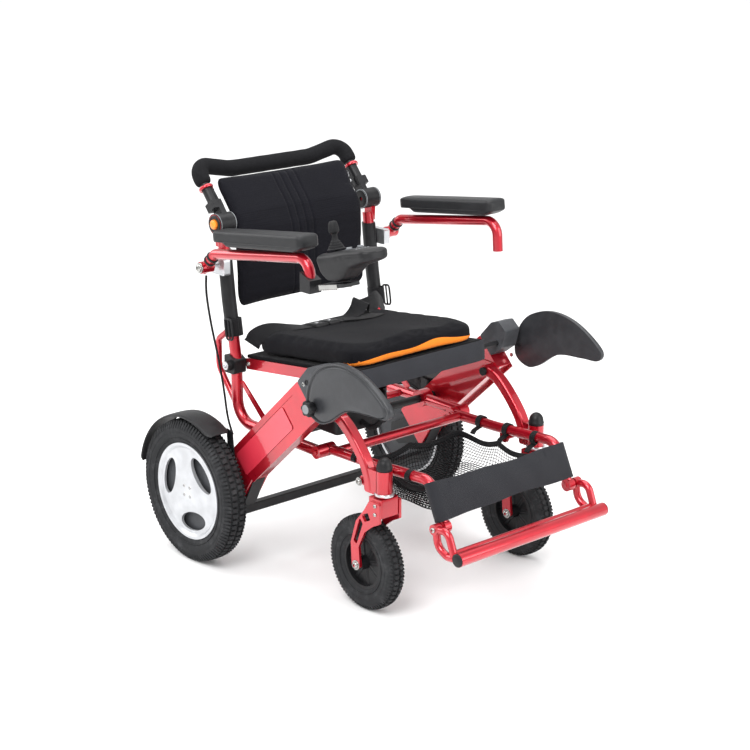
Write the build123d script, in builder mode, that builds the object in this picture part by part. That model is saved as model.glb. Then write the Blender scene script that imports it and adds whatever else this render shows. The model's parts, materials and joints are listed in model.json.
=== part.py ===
"""Folding power wheelchair: box side arms with hub motors, a folding back frame,
linked front legs with casters, a net basket frame, a flip-up footrest and a joystick.

Millimetres. X points forward, Y to the sitter's left, Z up. The origin is on the ground
under the middle of the chair. "right" pieces are at negative Y, "left" ones at positive Y.
"""
from build123d import *
import os
from math import atan2, cos, radians, sin, tan

os.makedirs("parts", exist_ok=True)

# ---------------------------------------------------------------- driving dimensions
WHEELBASE = 446.0            # rear axle to caster axle
REAR_AXLE_X = -273.0
REAR_RADIUS = 157.5          # 12.5 inch drive wheel
REAR_TYRE_WIDTH = 56.0
REAR_RIM_RADIUS = 107.0
TRACK_HALF = 320.0           # middle of the car-side drive wheel from the centre plane
CASTER_RADIUS = 100.0        # 8 inch caster wheel
CASTER_TYRE_WIDTH = 44.0
CASTER_RIM_RADIUS = 55.0
CASTER_TRAIL = 52.0          # stem axis ahead of the caster axle
CASTER_Y = 217.0             # stem axis from the centre plane
GAP = 0.5                    # air between neighbours that move apart
RUNNING = 0.05               # radial clearance of a shaft in its bore

ARM_INNER_Y = 236.0
ARM_WIDTH = 44.0
ARM_DEPTH = 82.0             # height of the box section
ARM_SLOPE = 42.3             # degrees
ARM_MID = (-112.0, 276.0)    # a point on the box section's middle line
ARM_REAR = -112.0            # ends of the box, along the slope from that point
ARM_FRONT = 232.0
ARM_CAP_LENGTH = 70.0

FOLD_X, FOLD_Z = -115.0, 292.0    # fold shaft through both arms
LINK_X, LINK_Z = 11.0, 291.0      # pin from the back frame to the lower frame
LEG_X, LEG_Z = 74.0, 396.0        # clevis pin from the arm to the front leg
TIE_X, TIE_Z = 170.0, 276.0       # open pivot from the lower frame to the leg
SEAT_X, SEAT_Z = 84.0, 456.0      # seat frame's front hinge
FOOT_X, FOOT_Z = 358.0, 220.0     # footrest hinge

POST_Y = 205.0               # back posts from the centre plane
POST_RADIUS = 12.5
SLEEVE_WALL = 3.0
LOWER_Y = 178.0              # lower frame tubes from the centre plane
LOWER_RADIUS = 11.0
PIN_RADIUS = 5.0
FOLD_SHAFT_RADIUS = 9.0
LEG_Y = 221.0
LEG_WIDTH = 24.0
LEG_DEPTH = 26.0

BACK_HINGE_X, BACK_HINGE_Z = -303.0, 722.0
DRUM_RADIUS = 21.0
DRUM_WIDTH = 42.0
BUTTON_RADIUS = 10.5
HANDLE_RADIUS = 11.0
GRIP_RADIUS = 18.0

ARMREST_Y = 262.0
ARMREST_HINGE_X, ARMREST_HINGE_Z = -290.0, 638.0
ARMREST_TUBE_RADIUS = 11.0
ARMREST_TILT = 7.0           # degrees, rising forward
PAD_LENGTH = 294.0
PAD_WIDTH = 54.0
PAD_HEIGHT = 36.0

SEAT_TILT = 6.5              # degrees, rising forward
SEAT_HALF = 186.5            # half the width of the seat cushion
CUSHION_LENGTH = 362.0
CUSHION_HEIGHT = 44.0
RAIL_WIDTH = 18.0
RAIL_DEPTH = 24.0
SLING_THICKNESS = 9.0

GUARD_Y = 297.0              # middle of the knee guard's shell
GUARD_THICKNESS = 14.0
GUARD_X, GUARD_Z = 112.0, 432.0   # clamp screw of the knee guard

FOOT_TUBE_RADIUS = 14.0
FOOT_FRONT_X, FOOT_FRONT_Z = 427.5, 178.0

REAR_OUTER = REAR_RADIUS + 8.5    # inside of the mudguard
FENDER_WALL = 2.5

SIDES = (("right", -1), ("left", 1))


# ---------------------------------------------------------------- shape helpers
def side(y):
    """Plane parallel to the chair's side, whose local axes are world X and Z."""
    return Plane(origin=(0, y, 0), x_dir=(1, 0, 0), z_dir=(0, -1, 0))


def polar(radius, angle):
    """Point at an angle in degrees."""
    return radius * cos(radians(angle)), radius * sin(radians(angle))


def arm_point(along, across):
    """Point of the side plane in the box arm's own directions."""
    c, s = cos(radians(ARM_SLOPE)), sin(radians(ARM_SLOPE))
    return ARM_MID[0] + along * c - across * s, ARM_MID[1] + along * s + across * c


def seat_point(along, up):
    """Point of the side plane, measured back from the seat hinge and up from the rails."""
    c, s = cos(radians(SEAT_TILT)), sin(radians(SEAT_TILT))
    return SEAT_X + along * c - up * s, SEAT_Z + along * s + up * c


def plate(y, thickness, outline, rounding=0.0, mode=Mode.ADD):
    """Flat plate parallel to the chair's side with its middle plane at y."""
    with BuildSketch(side(y)) as face:
        with BuildLine():
            Polyline(*outline, close=True)
        make_face()
        if rounding:
            fillet(face.vertices(), rounding)
    return extrude(face.sketch, amount=thickness / 2, both=True, mode=mode)


def rod(points, radius, bends=None, mode=Mode.ADD):
    """Round tube or bar along straight runs that are joined by tangent arcs."""
    with BuildLine() as path:
        if len(points) == 2:
            Line(*points)
        else:
            FilletPolyline(*points, radius=bends)
    with BuildSketch(Plane(path.line @ 0, z_dir=path.line % 0)) as section:
        Circle(radius)
    return sweep(section.sketch, path=path.line, mode=mode)


def across(x, z, y_from, y_to, radius, mode=Mode.ADD):
    """Round bar, or hole, along Y."""
    with BuildSketch(side(y_from)) as section:
        with Locations((x, z)):
            Circle(radius)
    return extrude(section.sketch, amount=y_from - y_to, mode=mode)


def write(piece, name):
    """Label one finished piece and write its file."""
    piece.part.label = name
    export_step(piece.part, f"parts/{name}.step")


# ---------------------------------------------------------------- box arms and their ends
ARM_Y = ARM_INNER_Y + ARM_WIDTH / 2
ARM_WALL = 4.0
half_depth = ARM_DEPTH / 2
arm_outline = [
    arm_point(ARM_REAR, -half_depth - 16),
    arm_point(ARM_REAR + 60, -half_depth),
    arm_point(ARM_FRONT, -half_depth),
    arm_point(ARM_FRONT, half_depth),
    arm_point(ARM_REAR, half_depth),
]
panel_outline = [
    arm_point(8, -half_depth + 14),
    arm_point(ARM_FRONT - 32, -half_depth + 14),
    arm_point(ARM_FRONT - 32, half_depth - 13),
    arm_point(8, half_depth - 13),
]
cavity_outline = [
    arm_point(ARM_REAR + 8, -half_depth + ARM_WALL),
    arm_point(ARM_FRONT - 8, -half_depth + ARM_WALL),
    arm_point(ARM_FRONT - 8, half_depth - ARM_WALL),
    arm_point(ARM_REAR + 8, half_depth - ARM_WALL),
]
LIP_HEIGHT = 7.0
lip_outline = [
    arm_point(ARM_REAR + 60, -half_depth - LIP_HEIGHT),
    arm_point(ARM_FRONT, -half_depth - LIP_HEIGHT),
    arm_point(ARM_FRONT, -half_depth + 1),
    arm_point(ARM_REAR + 60, -half_depth + 1),
]
EAR_THICKNESS = 9.0
EAR_Y = LEG_Y + LEG_WIDTH / 2 + GAP + EAR_THICKNESS / 2
ear_outline = [
    arm_point(ARM_FRONT - 50, -half_depth + 2),
    (LEG_X + 12, LEG_Z - 9),
    (LEG_X + 13, LEG_Z + 6),
    (LEG_X + 2, LEG_Z + 14),
    arm_point(ARM_FRONT - 30, 0),
]
SPINDLE_RADIUS = 8.0
AXLE_PLATE = 8.0
axle_plate_y = ARM_INNER_Y + ARM_WIDTH - AXLE_PLATE / 2

for name, s in SIDES:
    with BuildPart() as arm:
        plate(s * ARM_Y, ARM_WIDTH, arm_outline, 3)
        plate(s * (ARM_Y + ARM_WIDTH / 2 - 2), 4, lip_outline)
        plate(s * ARM_Y, ARM_WIDTH - 2 * ARM_WALL - 4, cavity_outline, mode=Mode.SUBTRACT)
        plate(s * (ARM_INNER_Y + ARM_WIDTH), 3, panel_outline, 4, mode=Mode.SUBTRACT)
        plate(s * EAR_Y, EAR_THICKNESS, ear_outline, 3)
        across(LEG_X, LEG_Z, s * 200, s * 260, PIN_RADIUS + RUNNING, mode=Mode.SUBTRACT)
        across(FOLD_X, FOLD_Z, s * 200, s * (ARM_INNER_Y + 14), FOLD_SHAFT_RADIUS,
               mode=Mode.SUBTRACT)
    write(arm, f"box_arm_{name}")

cap_from, cap_to = ARM_FRONT, ARM_FRONT + ARM_CAP_LENGTH
with BuildPart() as arm_caps:
    for name, s in SIDES:
        plate(s * ARM_Y, ARM_WIDTH, [
            arm_point(cap_from, -half_depth + 30),
            arm_point(cap_to - 30, -half_depth + 26),
            arm_point(cap_to + 4, -half_depth + 48),
            arm_point(cap_to, half_depth - 6),
            arm_point(cap_to - 20, half_depth + 4),
            arm_point(cap_from, half_depth),
        ], 6)
        across(SEAT_X, SEAT_Z, s * 220, s * (ARM_INNER_Y + 16), PIN_RADIUS + 1, mode=Mode.SUBTRACT)
        across(GUARD_X, GUARD_Z, s * 230, s * 300, PIN_RADIUS, mode=Mode.SUBTRACT)
write(arm_caps, "arm_end_caps")

HUB_INNER_Y = TRACK_HALF - REAR_TYRE_WIDTH / 2
with BuildPart() as motor_mounts:
    for name, s in SIDES:
        plate(s * axle_plate_y, AXLE_PLATE - 0.2, [
            (REAR_AXLE_X - 24, REAR_RADIUS - 16),
            (REAR_AXLE_X + 4, REAR_RADIUS - 30),
            arm_point(ARM_REAR - 1, -half_depth - 12),
            arm_point(ARM_REAR - 1, half_depth - 4),
            (REAR_AXLE_X + 10, REAR_RADIUS + 30),
            (REAR_AXLE_X - 22, REAR_RADIUS + 18),
        ], 8)
        across(REAR_AXLE_X, REAR_RADIUS, s * axle_plate_y, s * (TRACK_HALF + 8), SPINDLE_RADIUS)
write(motor_mounts, "motor_mounts")

BAR = 20.0
BAR_X, BAR_Z = -171.0, 128.0
with BuildPart() as rear_crossbar:
    with BuildSketch(side(ARM_INNER_Y + ARM_WIDTH - 12)) as bar_face:
        with Locations((BAR_X, BAR_Z)):
            RectangleRounded(BAR, BAR, 3)
    extrude(bar_face.sketch, amount=2 * (ARM_INNER_Y + ARM_WIDTH - 12))
    for name, s in SIDES:
        plate(s * ARM_Y, ARM_WIDTH - 12, [
            (BAR_X - 9, BAR_Z + 8), (BAR_X + 9, BAR_Z + 8),
            arm_point(ARM_REAR + 56, -half_depth - 2), arm_point(ARM_REAR + 8, -half_depth - 15),
        ])
write(rear_crossbar, "rear_crossbar")

# ---------------------------------------------------------------- pivot pins held by the arms
with BuildPart() as pivot_pins:
    across(FOLD_X, FOLD_Z, ARM_INNER_Y + 14, -ARM_INNER_Y - 14, FOLD_SHAFT_RADIUS)
    across(SEAT_X, SEAT_Z, ARM_INNER_Y + 16, -ARM_INNER_Y - 16, PIN_RADIUS + 1)
    for name, s in SIDES:
        across(LEG_X, LEG_Z, s * (LEG_Y - LEG_WIDTH / 2 - 6), s * (EAR_Y + EAR_THICKNESS / 2), PIN_RADIUS)
        across(LEG_X, LEG_Z, s * (LEG_Y - LEG_WIDTH / 2 - 6), s * (LEG_Y - LEG_WIDTH / 2 - GAP),
               PIN_RADIUS + 4)
write(pivot_pins, "pivot_pins")

# ---------------------------------------------------------------- power unit under the seat
BOX_X0, BOX_X1, BOX_Z0, BOX_Z1 = -98.0, 28.0, 320.0, 398.0
BOX_Y0, BOX_Y1 = -172.0, -28.0
with BuildPart() as battery_box:
    with BuildSketch(Plane.XY.offset(BOX_Z0)):
        with Locations(((BOX_X0 + BOX_X1) / 2, (BOX_Y0 + BOX_Y1) / 2)):
            RectangleRounded(BOX_X1 - BOX_X0, BOX_Y1 - BOX_Y0, 10)
    extrude(amount=BOX_Z1 - BOX_Z0)
    fillet(battery_box.faces().sort_by(Axis.Z)[0].edges(), 5)
    plate((BOX_Y0 - ARM_INNER_Y) / 2, ARM_INNER_Y + BOX_Y0, [
        (BOX_X1 - 62, BOX_Z0 + 26), (BOX_X1 - 22, BOX_Z0 + 26),
        (BOX_X1 - 22, BOX_Z0 + 32), (BOX_X1 - 62, BOX_Z0 + 32)])
write(battery_box, "battery_box")

# ---------------------------------------------------------------- mudguards
FENDER_FROM, FENDER_TO = 57.0, 172.0
STAY_ANGLE = 62.0
with BuildPart() as mudguards:
    for name, s in SIDES:
        wheel_plane = Plane(origin=(REAR_AXLE_X, s * (TRACK_HALF - 3), REAR_RADIUS), x_dir=(1, 0, 0),
                            z_dir=(0, -1, 0))
        with BuildSketch(wheel_plane) as arc_face:
            with BuildLine():
                outer = CenterArc((0, 0), REAR_OUTER + FENDER_WALL, FENDER_FROM, FENDER_TO - FENDER_FROM)
                inner = CenterArc((0, 0), REAR_OUTER, FENDER_FROM, FENDER_TO - FENDER_FROM)
                Line(outer @ 0, inner @ 0)
                Line(outer @ 1, inner @ 1)
            make_face()
        extrude(arc_face.sketch, amount=(REAR_TYRE_WIDTH + 4) / 2, both=True)
        start = polar(REAR_OUTER + 1, STAY_ANGLE)
        plate(s * (HUB_INNER_Y - 4.2), 3, [
            (REAR_AXLE_X + start[0] - 10, REAR_RADIUS + start[1] + 2),
            (REAR_AXLE_X + start[0] + 10, REAR_RADIUS + start[1] - 4),
            arm_point(ARM_REAR + 34, half_depth - 30), arm_point(ARM_REAR + 6, half_depth - 30)])
write(mudguards, "mudguards")

# ---------------------------------------------------------------- drive wheels
WINDOW_CIRCLE = 67.0
WINDOW_RADIAL, WINDOW_TANGENT = 21.0, 44.0    # half sizes of each oval window
RIM_WALL, RIM_HALF = 6.0, 21.0
DISC_INNER = 12.0                             # inner face of the rim disc, from the wheel's middle
for name, s in SIDES:
    with BuildPart() as rear_tyre:
        with BuildSketch(Plane(origin=(REAR_AXLE_X, s * TRACK_HALF, REAR_RADIUS), x_dir=(1, 0, 0),
                               z_dir=(0, 0, 1))) as section:
            with BuildLine():
                Polyline((REAR_RIM_RADIUS, -21), (REAR_RADIUS - 24, -REAR_TYRE_WIDTH / 2),
                         (REAR_RADIUS - 7, -REAR_TYRE_WIDTH / 2 + 3), (REAR_RADIUS, -12),
                         (REAR_RADIUS, 12), (REAR_RADIUS - 7, REAR_TYRE_WIDTH / 2 - 3),
                         (REAR_RADIUS - 24, REAR_TYRE_WIDTH / 2), (REAR_RIM_RADIUS, 21), close=True)
            make_face()
        revolve(section.sketch, Axis((REAR_AXLE_X, s * TRACK_HALF, REAR_RADIUS), (0, 1, 0)))
    write(rear_tyre, f"rear_tyre_{name}")

    with BuildPart() as rear_rim:
        bore = REAR_RIM_RADIUS - RIM_WALL
        with BuildSketch(Plane(origin=(REAR_AXLE_X, s * TRACK_HALF, REAR_RADIUS), x_dir=(1, 0, 0),
                               z_dir=(0, 0, s))) as section:
            with BuildLine():
                Polyline((REAR_RIM_RADIUS, -RIM_HALF), (REAR_RIM_RADIUS, RIM_HALF), (bore, RIM_HALF),
                         (bore - 5, RIM_HALF - 4), (bore - 15, RIM_HALF - 3.5), (45, RIM_HALF - 1),
                         (24, RIM_HALF), (0, RIM_HALF), (0, DISC_INNER), (bore, DISC_INNER),
                         (bore, -RIM_HALF), close=True)
            make_face()
        revolve(section.sketch, Axis((REAR_AXLE_X, s * TRACK_HALF, REAR_RADIUS), (0, 1, 0)))
        with BuildSketch(side(s * TRACK_HALF)) as windows:
            with Locations((REAR_AXLE_X, REAR_RADIUS)):
                with PolarLocations(WINDOW_CIRCLE, 3, start_angle=44):
                    Ellipse(WINDOW_RADIAL, WINDOW_TANGENT)
        extrude(windows.sketch, amount=RIM_HALF + 2, both=True, mode=Mode.SUBTRACT)
    write(rear_rim, f"rear_rim_{name}")

    with BuildPart() as hub_motor:
        across(REAR_AXLE_X, REAR_RADIUS, s * (HUB_INNER_Y - 6), s * (TRACK_HALF + DISC_INNER - GAP), 40)
        across(REAR_AXLE_X, REAR_RADIUS, s * (TRACK_HALF - 16), s * (TRACK_HALF + 4),
               REAR_RIM_RADIUS - RIM_WALL - GAP)
        across(REAR_AXLE_X, REAR_RADIUS, s * (HUB_INNER_Y - 40), s * (TRACK_HALF + 8 + GAP),
               SPINDLE_RADIUS + RUNNING, mode=Mode.SUBTRACT)
    write(hub_motor, f"hub_motor_{name}")

# ---------------------------------------------------------------- folding back frame
POST_FOOT_X = -266.0
KNUCKLE_REACH = 32.0         # hinge pin to the tube ends it joins
POST_TOP_X = -288.0
post_path = [
    (LINK_X, LINK_Z), (POST_FOOT_X + 2, LINK_Z), (POST_FOOT_X, 430.0),
    (POST_TOP_X, 560.0), (BACK_HINGE_X, BACK_HINGE_Z - KNUCKLE_REACH),
]
POST_BENDS = [50, 220, 260]
SLEEVE_FROM, SLEEVE_TO = 497.0, 666.0
HALF_DRUM = DRUM_WIDTH / 2
KNUCKLE_Y = POST_Y + 1.0     # face between the hinge's outer and inner knuckles
BUMPER_Y = POST_Y + 27.0
BRACKET_Y = (POST_Y + ARMREST_Y) / 2
with BuildPart() as back_frame:
    for name, s in SIDES:
        y = s * POST_Y
        rod([(x, y, z) for x, z in post_path], POST_RADIUS, POST_BENDS)
        rod([(POST_FOOT_X - 20, y, 492), (POST_FOOT_X - 62, y, 462), (POST_FOOT_X - 62, y, 400),
             (POST_FOOT_X - 4, y, 328)], 7, [18, 40])
        plate(s * (POST_Y - 2), 4, [
            (POST_FOOT_X + 6, 384), (POST_FOOT_X + 20, 384), (FOLD_X - 42, LINK_Z + 18),
            (FOLD_X - 52, LINK_Z + 8)])
        across(FOLD_X, FOLD_Z, s * (POST_Y - 14), s * (POST_Y + 14), 20)
        across(FOLD_X, FOLD_Z, s * 150, s * 260, FOLD_SHAFT_RADIUS + RUNNING, mode=Mode.SUBTRACT)
        across(LINK_X, LINK_Z, s * (LOWER_Y + LOWER_RADIUS + GAP), s * (POST_Y + 11), PIN_RADIUS + 9)
        across(LINK_X, LINK_Z, s * (LOWER_Y - LOWER_RADIUS - 4), s * (POST_Y + 14), PIN_RADIUS)
        across(BACK_HINGE_X, BACK_HINGE_Z, s * KNUCKLE_Y, s * (POST_Y + HALF_DRUM), DRUM_RADIUS)
        plate(s * (KNUCKLE_Y + 5.5), 11, [
            (BACK_HINGE_X - 11, BACK_HINGE_Z - 50), (BACK_HINGE_X + 11, BACK_HINGE_Z - 50),
            (BACK_HINGE_X + 13, BACK_HINGE_Z - 8), (BACK_HINGE_X - 13, BACK_HINGE_Z - 8)])
        across(BACK_HINGE_X, BACK_HINGE_Z, s * (KNUCKLE_Y - 18), s * (KNUCKLE_Y + 1), PIN_RADIUS)
        across(BACK_HINGE_X, BACK_HINGE_Z, s * (POST_Y + HALF_DRUM - 10), s * (POST_Y + HALF_DRUM + 1),
               BUTTON_RADIUS + 0.3, mode=Mode.SUBTRACT)
    rod([(FOLD_X - 66, POST_Y, LINK_Z), (FOLD_X - 66, -POST_Y, LINK_Z)], 8)
write(back_frame, "back_frame")

CLAMP_Z = 420.0
CLAMP_INNER = SEAT_HALF + 4.0
CLAMP_WIDTH = 32.0
clamp_x = POST_FOOT_X
with BuildPart() as rail_clamps:
    for name, s in SIDES:
        plate(s * (CLAMP_INNER + CLAMP_WIDTH / 2), CLAMP_WIDTH, [
            (clamp_x - 20, CLAMP_Z - 20), (clamp_x + 14, CLAMP_Z - 20),
            (clamp_x + 17, CLAMP_Z + 10), (clamp_x - 2, CLAMP_Z + 20), (clamp_x - 20, CLAMP_Z + 20)], 5)
        rod([(x, s * POST_Y, z) for x, z in post_path], POST_RADIUS + 0.1, POST_BENDS,
            mode=Mode.SUBTRACT)
        across(clamp_x + 1, CLAMP_Z - 1, s * (CLAMP_INNER + CLAMP_WIDTH),
               s * (CLAMP_INNER + CLAMP_WIDTH + 12), 11)
write(rail_clamps, "rail_clamps")

with BuildPart() as post_sleeves:
    for name, s in SIDES:
        rod([(x, s * POST_Y, z) for x, z in post_path], POST_RADIUS + SLEEVE_WALL, POST_BENDS)
    with Locations((POST_TOP_X, 0, (SLEEVE_FROM + SLEEVE_TO) / 2)):
        Box(120, 2 * POST_Y + 80, SLEEVE_TO - SLEEVE_FROM, mode=Mode.INTERSECT)
    for name, s in SIDES:
        rod([(x, s * POST_Y, z) for x, z in post_path], POST_RADIUS + 0.1, POST_BENDS,
            mode=Mode.SUBTRACT)
write(post_sleeves, "post_sleeves")

with BuildPart() as armrest_brackets:
    for name, s in SIDES:
        plate(s * (POST_Y + 22), 16, [
            (ARMREST_HINGE_X - 18, ARMREST_HINGE_Z - 20), (ARMREST_HINGE_X + 28, ARMREST_HINGE_Z - 20),
            (ARMREST_HINGE_X + 28, ARMREST_HINGE_Z + 14), (ARMREST_HINGE_X - 18, ARMREST_HINGE_Z + 14)], 4)
        rod([(x, s * POST_Y, z) for x, z in post_path], POST_RADIUS + 3.1, POST_BENDS,
            mode=Mode.SUBTRACT)
        across(ARMREST_HINGE_X, ARMREST_HINGE_Z, s * (POST_Y + 20), s * (ARMREST_Y + 17), PIN_RADIUS)
write(armrest_brackets, "armrest_brackets")

BACKREST_HALF = POST_Y - HALF_DRUM - 2.0
BACKREST_THICKNESS = 16.0
BACKREST_BOTTOM = 532.0
with BuildPart() as backrest_lower:
    plate(0, 2 * BACKREST_HALF, [
        (POST_TOP_X - 12, BACKREST_BOTTOM), (POST_TOP_X + 6, BACKREST_BOTTOM),
        (BACK_HINGE_X + 9, BACK_HINGE_Z - 16), (BACK_HINGE_X - 9, BACK_HINGE_Z - 16)], 3)
write(backrest_lower, "backrest_lower")

# ---------------------------------------------------------------- upper back and push handle
UPPER_SLOPE = 50.0          # degrees from level, leaning back
upper_c, upper_s = cos(radians(UPPER_SLOPE)), sin(radians(UPPER_SLOPE))


def upper_point(along, ahead):
    """Point of the side plane along the leaning upper back, from its hinge."""
    return (BACK_HINGE_X - along * upper_c + ahead * upper_s,
            BACK_HINGE_Z + along * upper_s + ahead * upper_c)


GRIP_START = 112.0
HORN_X, HORN_Z = upper_point(146, 0)
HANDLE_DIP = 19.0
DIP_Y = 112.0


def handle_route(along):
    """Centre line of the U-shaped handle, from one end to the other."""
    x0, z0 = upper_point(along, 0)
    half = [(x0, POST_Y, z0), (HORN_X, POST_Y, HORN_Z), (HORN_X, DIP_Y, HORN_Z - HANDLE_DIP)]
    return half + [(x, -y, z) for x, y, z in reversed(half)]


HANDLE_BENDS = [27, 120, 120, 27]
ROD_FROM, ROD_TO = KNUCKLE_REACH + 2, KNUCKLE_REACH + 50
with BuildPart() as handle_tube:
    rod(handle_route(KNUCKLE_REACH), HANDLE_RADIUS, HANDLE_BENDS)
    for name, s in SIDES:
        low_x, low_z = upper_point(ROD_FROM, 0)
        high_x, high_z = upper_point(ROD_TO, 0)
        rod([(low_x, s * (POST_Y - 17), low_z), (high_x, s * (POST_Y - 14.5), high_z)], 2.5)
        rod([(high_x, s * (POST_Y - 17), high_z), (high_x, s * (POST_Y - 6), high_z)], 2.5)
write(handle_tube, "handle_tube")

with BuildPart() as handle_grip:
    rod(handle_route(GRIP_START), GRIP_RADIUS, HANDLE_BENDS)
    rod(handle_route(GRIP_START - 8), HANDLE_RADIUS + 0.1, HANDLE_BENDS, mode=Mode.SUBTRACT)
write(handle_grip, "handle_grip")

with BuildPart() as hinge_drums:
    for name, s in SIDES:
        inner_from, inner_to = POST_Y - HALF_DRUM, KNUCKLE_Y - GAP
        across(BACK_HINGE_X, BACK_HINGE_Z, s * inner_from, s * inner_to, DRUM_RADIUS)
        plate(s * (inner_from + inner_to + 8) / 2, inner_to - inner_from - 8, [
            upper_point(0, -13), upper_point(KNUCKLE_REACH + 3, -13),
            upper_point(KNUCKLE_REACH + 3, 13), upper_point(0, 13)])
        plate(s * POST_Y, 27, [
            upper_point(KNUCKLE_REACH + 1, -13), upper_point(KNUCKLE_REACH + 20, -13),
            upper_point(KNUCKLE_REACH + 20, 13), upper_point(KNUCKLE_REACH + 1, 13)])
        across(BACK_HINGE_X, BACK_HINGE_Z, s * 150, s * 240, PIN_RADIUS + RUNNING, mode=Mode.SUBTRACT)
    rod(handle_route(KNUCKLE_REACH), HANDLE_RADIUS + 0.1, HANDLE_BENDS, mode=Mode.SUBTRACT)
write(hinge_drums, "hinge_drums")

BUTTON_TRAVEL = 3.0
for name, s in SIDES:
    with BuildPart() as hinge_button:
        across(BACK_HINGE_X, BACK_HINGE_Z, s * (POST_Y + HALF_DRUM - 4), s * (POST_Y + HALF_DRUM + 4),
               BUTTON_RADIUS)
    write(hinge_button, f"hinge_button_{name}")

UPPER_CLOTH = 104.0
with BuildPart() as backrest_upper:
    plate(0, 2 * BACKREST_HALF - 8, [
        upper_point(14, 12), upper_point(14, -2), upper_point(UPPER_CLOTH, -2), upper_point(UPPER_CLOTH, 12)], 3)
write(backrest_upper, "backrest_upper")

# ---------------------------------------------------------------- flip-up armrests
tilt_c, tilt_s = cos(radians(ARMREST_TILT)), sin(radians(ARMREST_TILT))
PAD_REAR_X, PAD_REAR_Z = -233.0, 694.0


def rest_point(along, up):
    """Point of the side plane, from the pad's rear lower corner."""
    return PAD_REAR_X + along * tilt_c - up * tilt_s, PAD_REAR_Z + along * tilt_s + up * tilt_c


TUBE_DROP = -ARMREST_TUBE_RADIUS - GAP
TUBE_FRONT_X = rest_point(292, 0)[0]
tube_path = [
    (ARMREST_HINGE_X - 10, ARMREST_HINGE_Z - 8), (ARMREST_HINGE_X + 34, ARMREST_HINGE_Z + 34),
    rest_point(286, TUBE_DROP), (TUBE_FRONT_X, 652.0),
]
TUBE_BENDS = [18, 30]
for name, s in SIDES:
    y = s * ARMREST_Y
    with BuildPart() as armrest_tube:
        rod([(x, y, z) for x, z in tube_path], ARMREST_TUBE_RADIUS, TUBE_BENDS)
        across(ARMREST_HINGE_X, ARMREST_HINGE_Z, s * (ARMREST_Y - 14), s * (ARMREST_Y + 14), 13)
        across(ARMREST_HINGE_X, ARMREST_HINGE_Z, s * 200, s * 300, PIN_RADIUS + RUNNING, mode=Mode.SUBTRACT)
    write(armrest_tube, f"armrest_tube_{name}")

    with BuildPart() as armrest_pad:
        plate(y, PAD_WIDTH, [
            rest_point(0, 0), rest_point(PAD_LENGTH - 26, 0), rest_point(PAD_LENGTH, 8),
            rest_point(PAD_LENGTH, PAD_HEIGHT - 4), rest_point(PAD_LENGTH - 30, PAD_HEIGHT),
            rest_point(30, PAD_HEIGHT), rest_point(0, PAD_HEIGHT - 8)], 3)
    write(armrest_pad, f"armrest_pad_{name}")

# ---------------------------------------------------------------- joystick controller
CONTROL_X, CONTROL_Z = 122.0, 738.0       # joystick pivot
CONTROL_TILT = 12.0
CONTROL_Y = -ARMREST_Y + 13.0
CONTROL_WIDTH = 74.0
control_c, control_s = cos(radians(CONTROL_TILT)), sin(radians(CONTROL_TILT))


def control_point(along, up):
    """Point of the side plane, from the joystick pivot, tilted with the panel."""
    return CONTROL_X + along * control_c - up * control_s, CONTROL_Z + along * control_s + up * control_c


def control_plane(along, up):
    """Plane on the tilted panel, facing up and out of it."""
    x, z = control_point(along, up)
    return Plane(origin=(x, CONTROL_Y, z), x_dir=(control_c, 0, control_s), z_dir=(-control_s, 0, control_c))


BOOT_RADIUS = 20.0
BOOT_UP, BOOT_FLANGE = 6.6, 1.4           # underside of the boot's flange clears the gimbal when tilted
STICK_RADIUS = 4.0
with BuildPart() as controller_housing:
    plate(CONTROL_Y, CONTROL_WIDTH, [
        control_point(-26, 2), control_point(-30, -20), control_point(-16, -58), control_point(34, -52),
        control_point(64, -22), control_point(120, -14), control_point(126, 2), control_point(60, 8)], 5)
    with BuildSketch(control_plane(0, 10)) as well:
        Circle(BOOT_RADIUS + 1)
    extrude(well.sketch, amount=-30, mode=Mode.SUBTRACT)
    with BuildSketch(control_plane(56, 14)) as key_wells:
        with Locations((0, 14), (0, -14)):
            Circle(6.5)
    extrude(key_wells.sketch, amount=-16, mode=Mode.SUBTRACT)
write(controller_housing, "controller_housing")

with BuildPart() as controller_mount:
    plate(CONTROL_Y, 40, [
        control_point(-62, -68), control_point(32, -66), control_point(32, -58.5), control_point(-14, -58.5),
        control_point(-50, -58.5)], 2)
    plate(-ARMREST_Y, 30, [
        (TUBE_FRONT_X - 16, 650), (TUBE_FRONT_X + 15, 650), (TUBE_FRONT_X + 15, 676),
        (TUBE_FRONT_X - 16, 690)])
    rod([(x, -ARMREST_Y, z) for x, z in tube_path], ARMREST_TUBE_RADIUS, TUBE_BENDS, mode=Mode.SUBTRACT)
write(controller_mount, "controller_mount")

GIMBAL_OUTER, GIMBAL_INNER = 10.0, 7.0
TRUNNION_RADIUS = 1.2
with BuildPart() as joystick_gimbal:
    with BuildSketch(control_plane(0, -2)) as ring:
        Circle(GIMBAL_OUTER)
        Circle(GIMBAL_INNER, mode=Mode.SUBTRACT)
    extrude(ring.sketch, amount=4)
    for s in (-1, 1):
        across(CONTROL_X, CONTROL_Z, CONTROL_Y + s * (GIMBAL_INNER + 1), CONTROL_Y + s * BOOT_RADIUS,
               TRUNNION_RADIUS)
write(joystick_gimbal, "joystick_gimbal")

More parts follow.
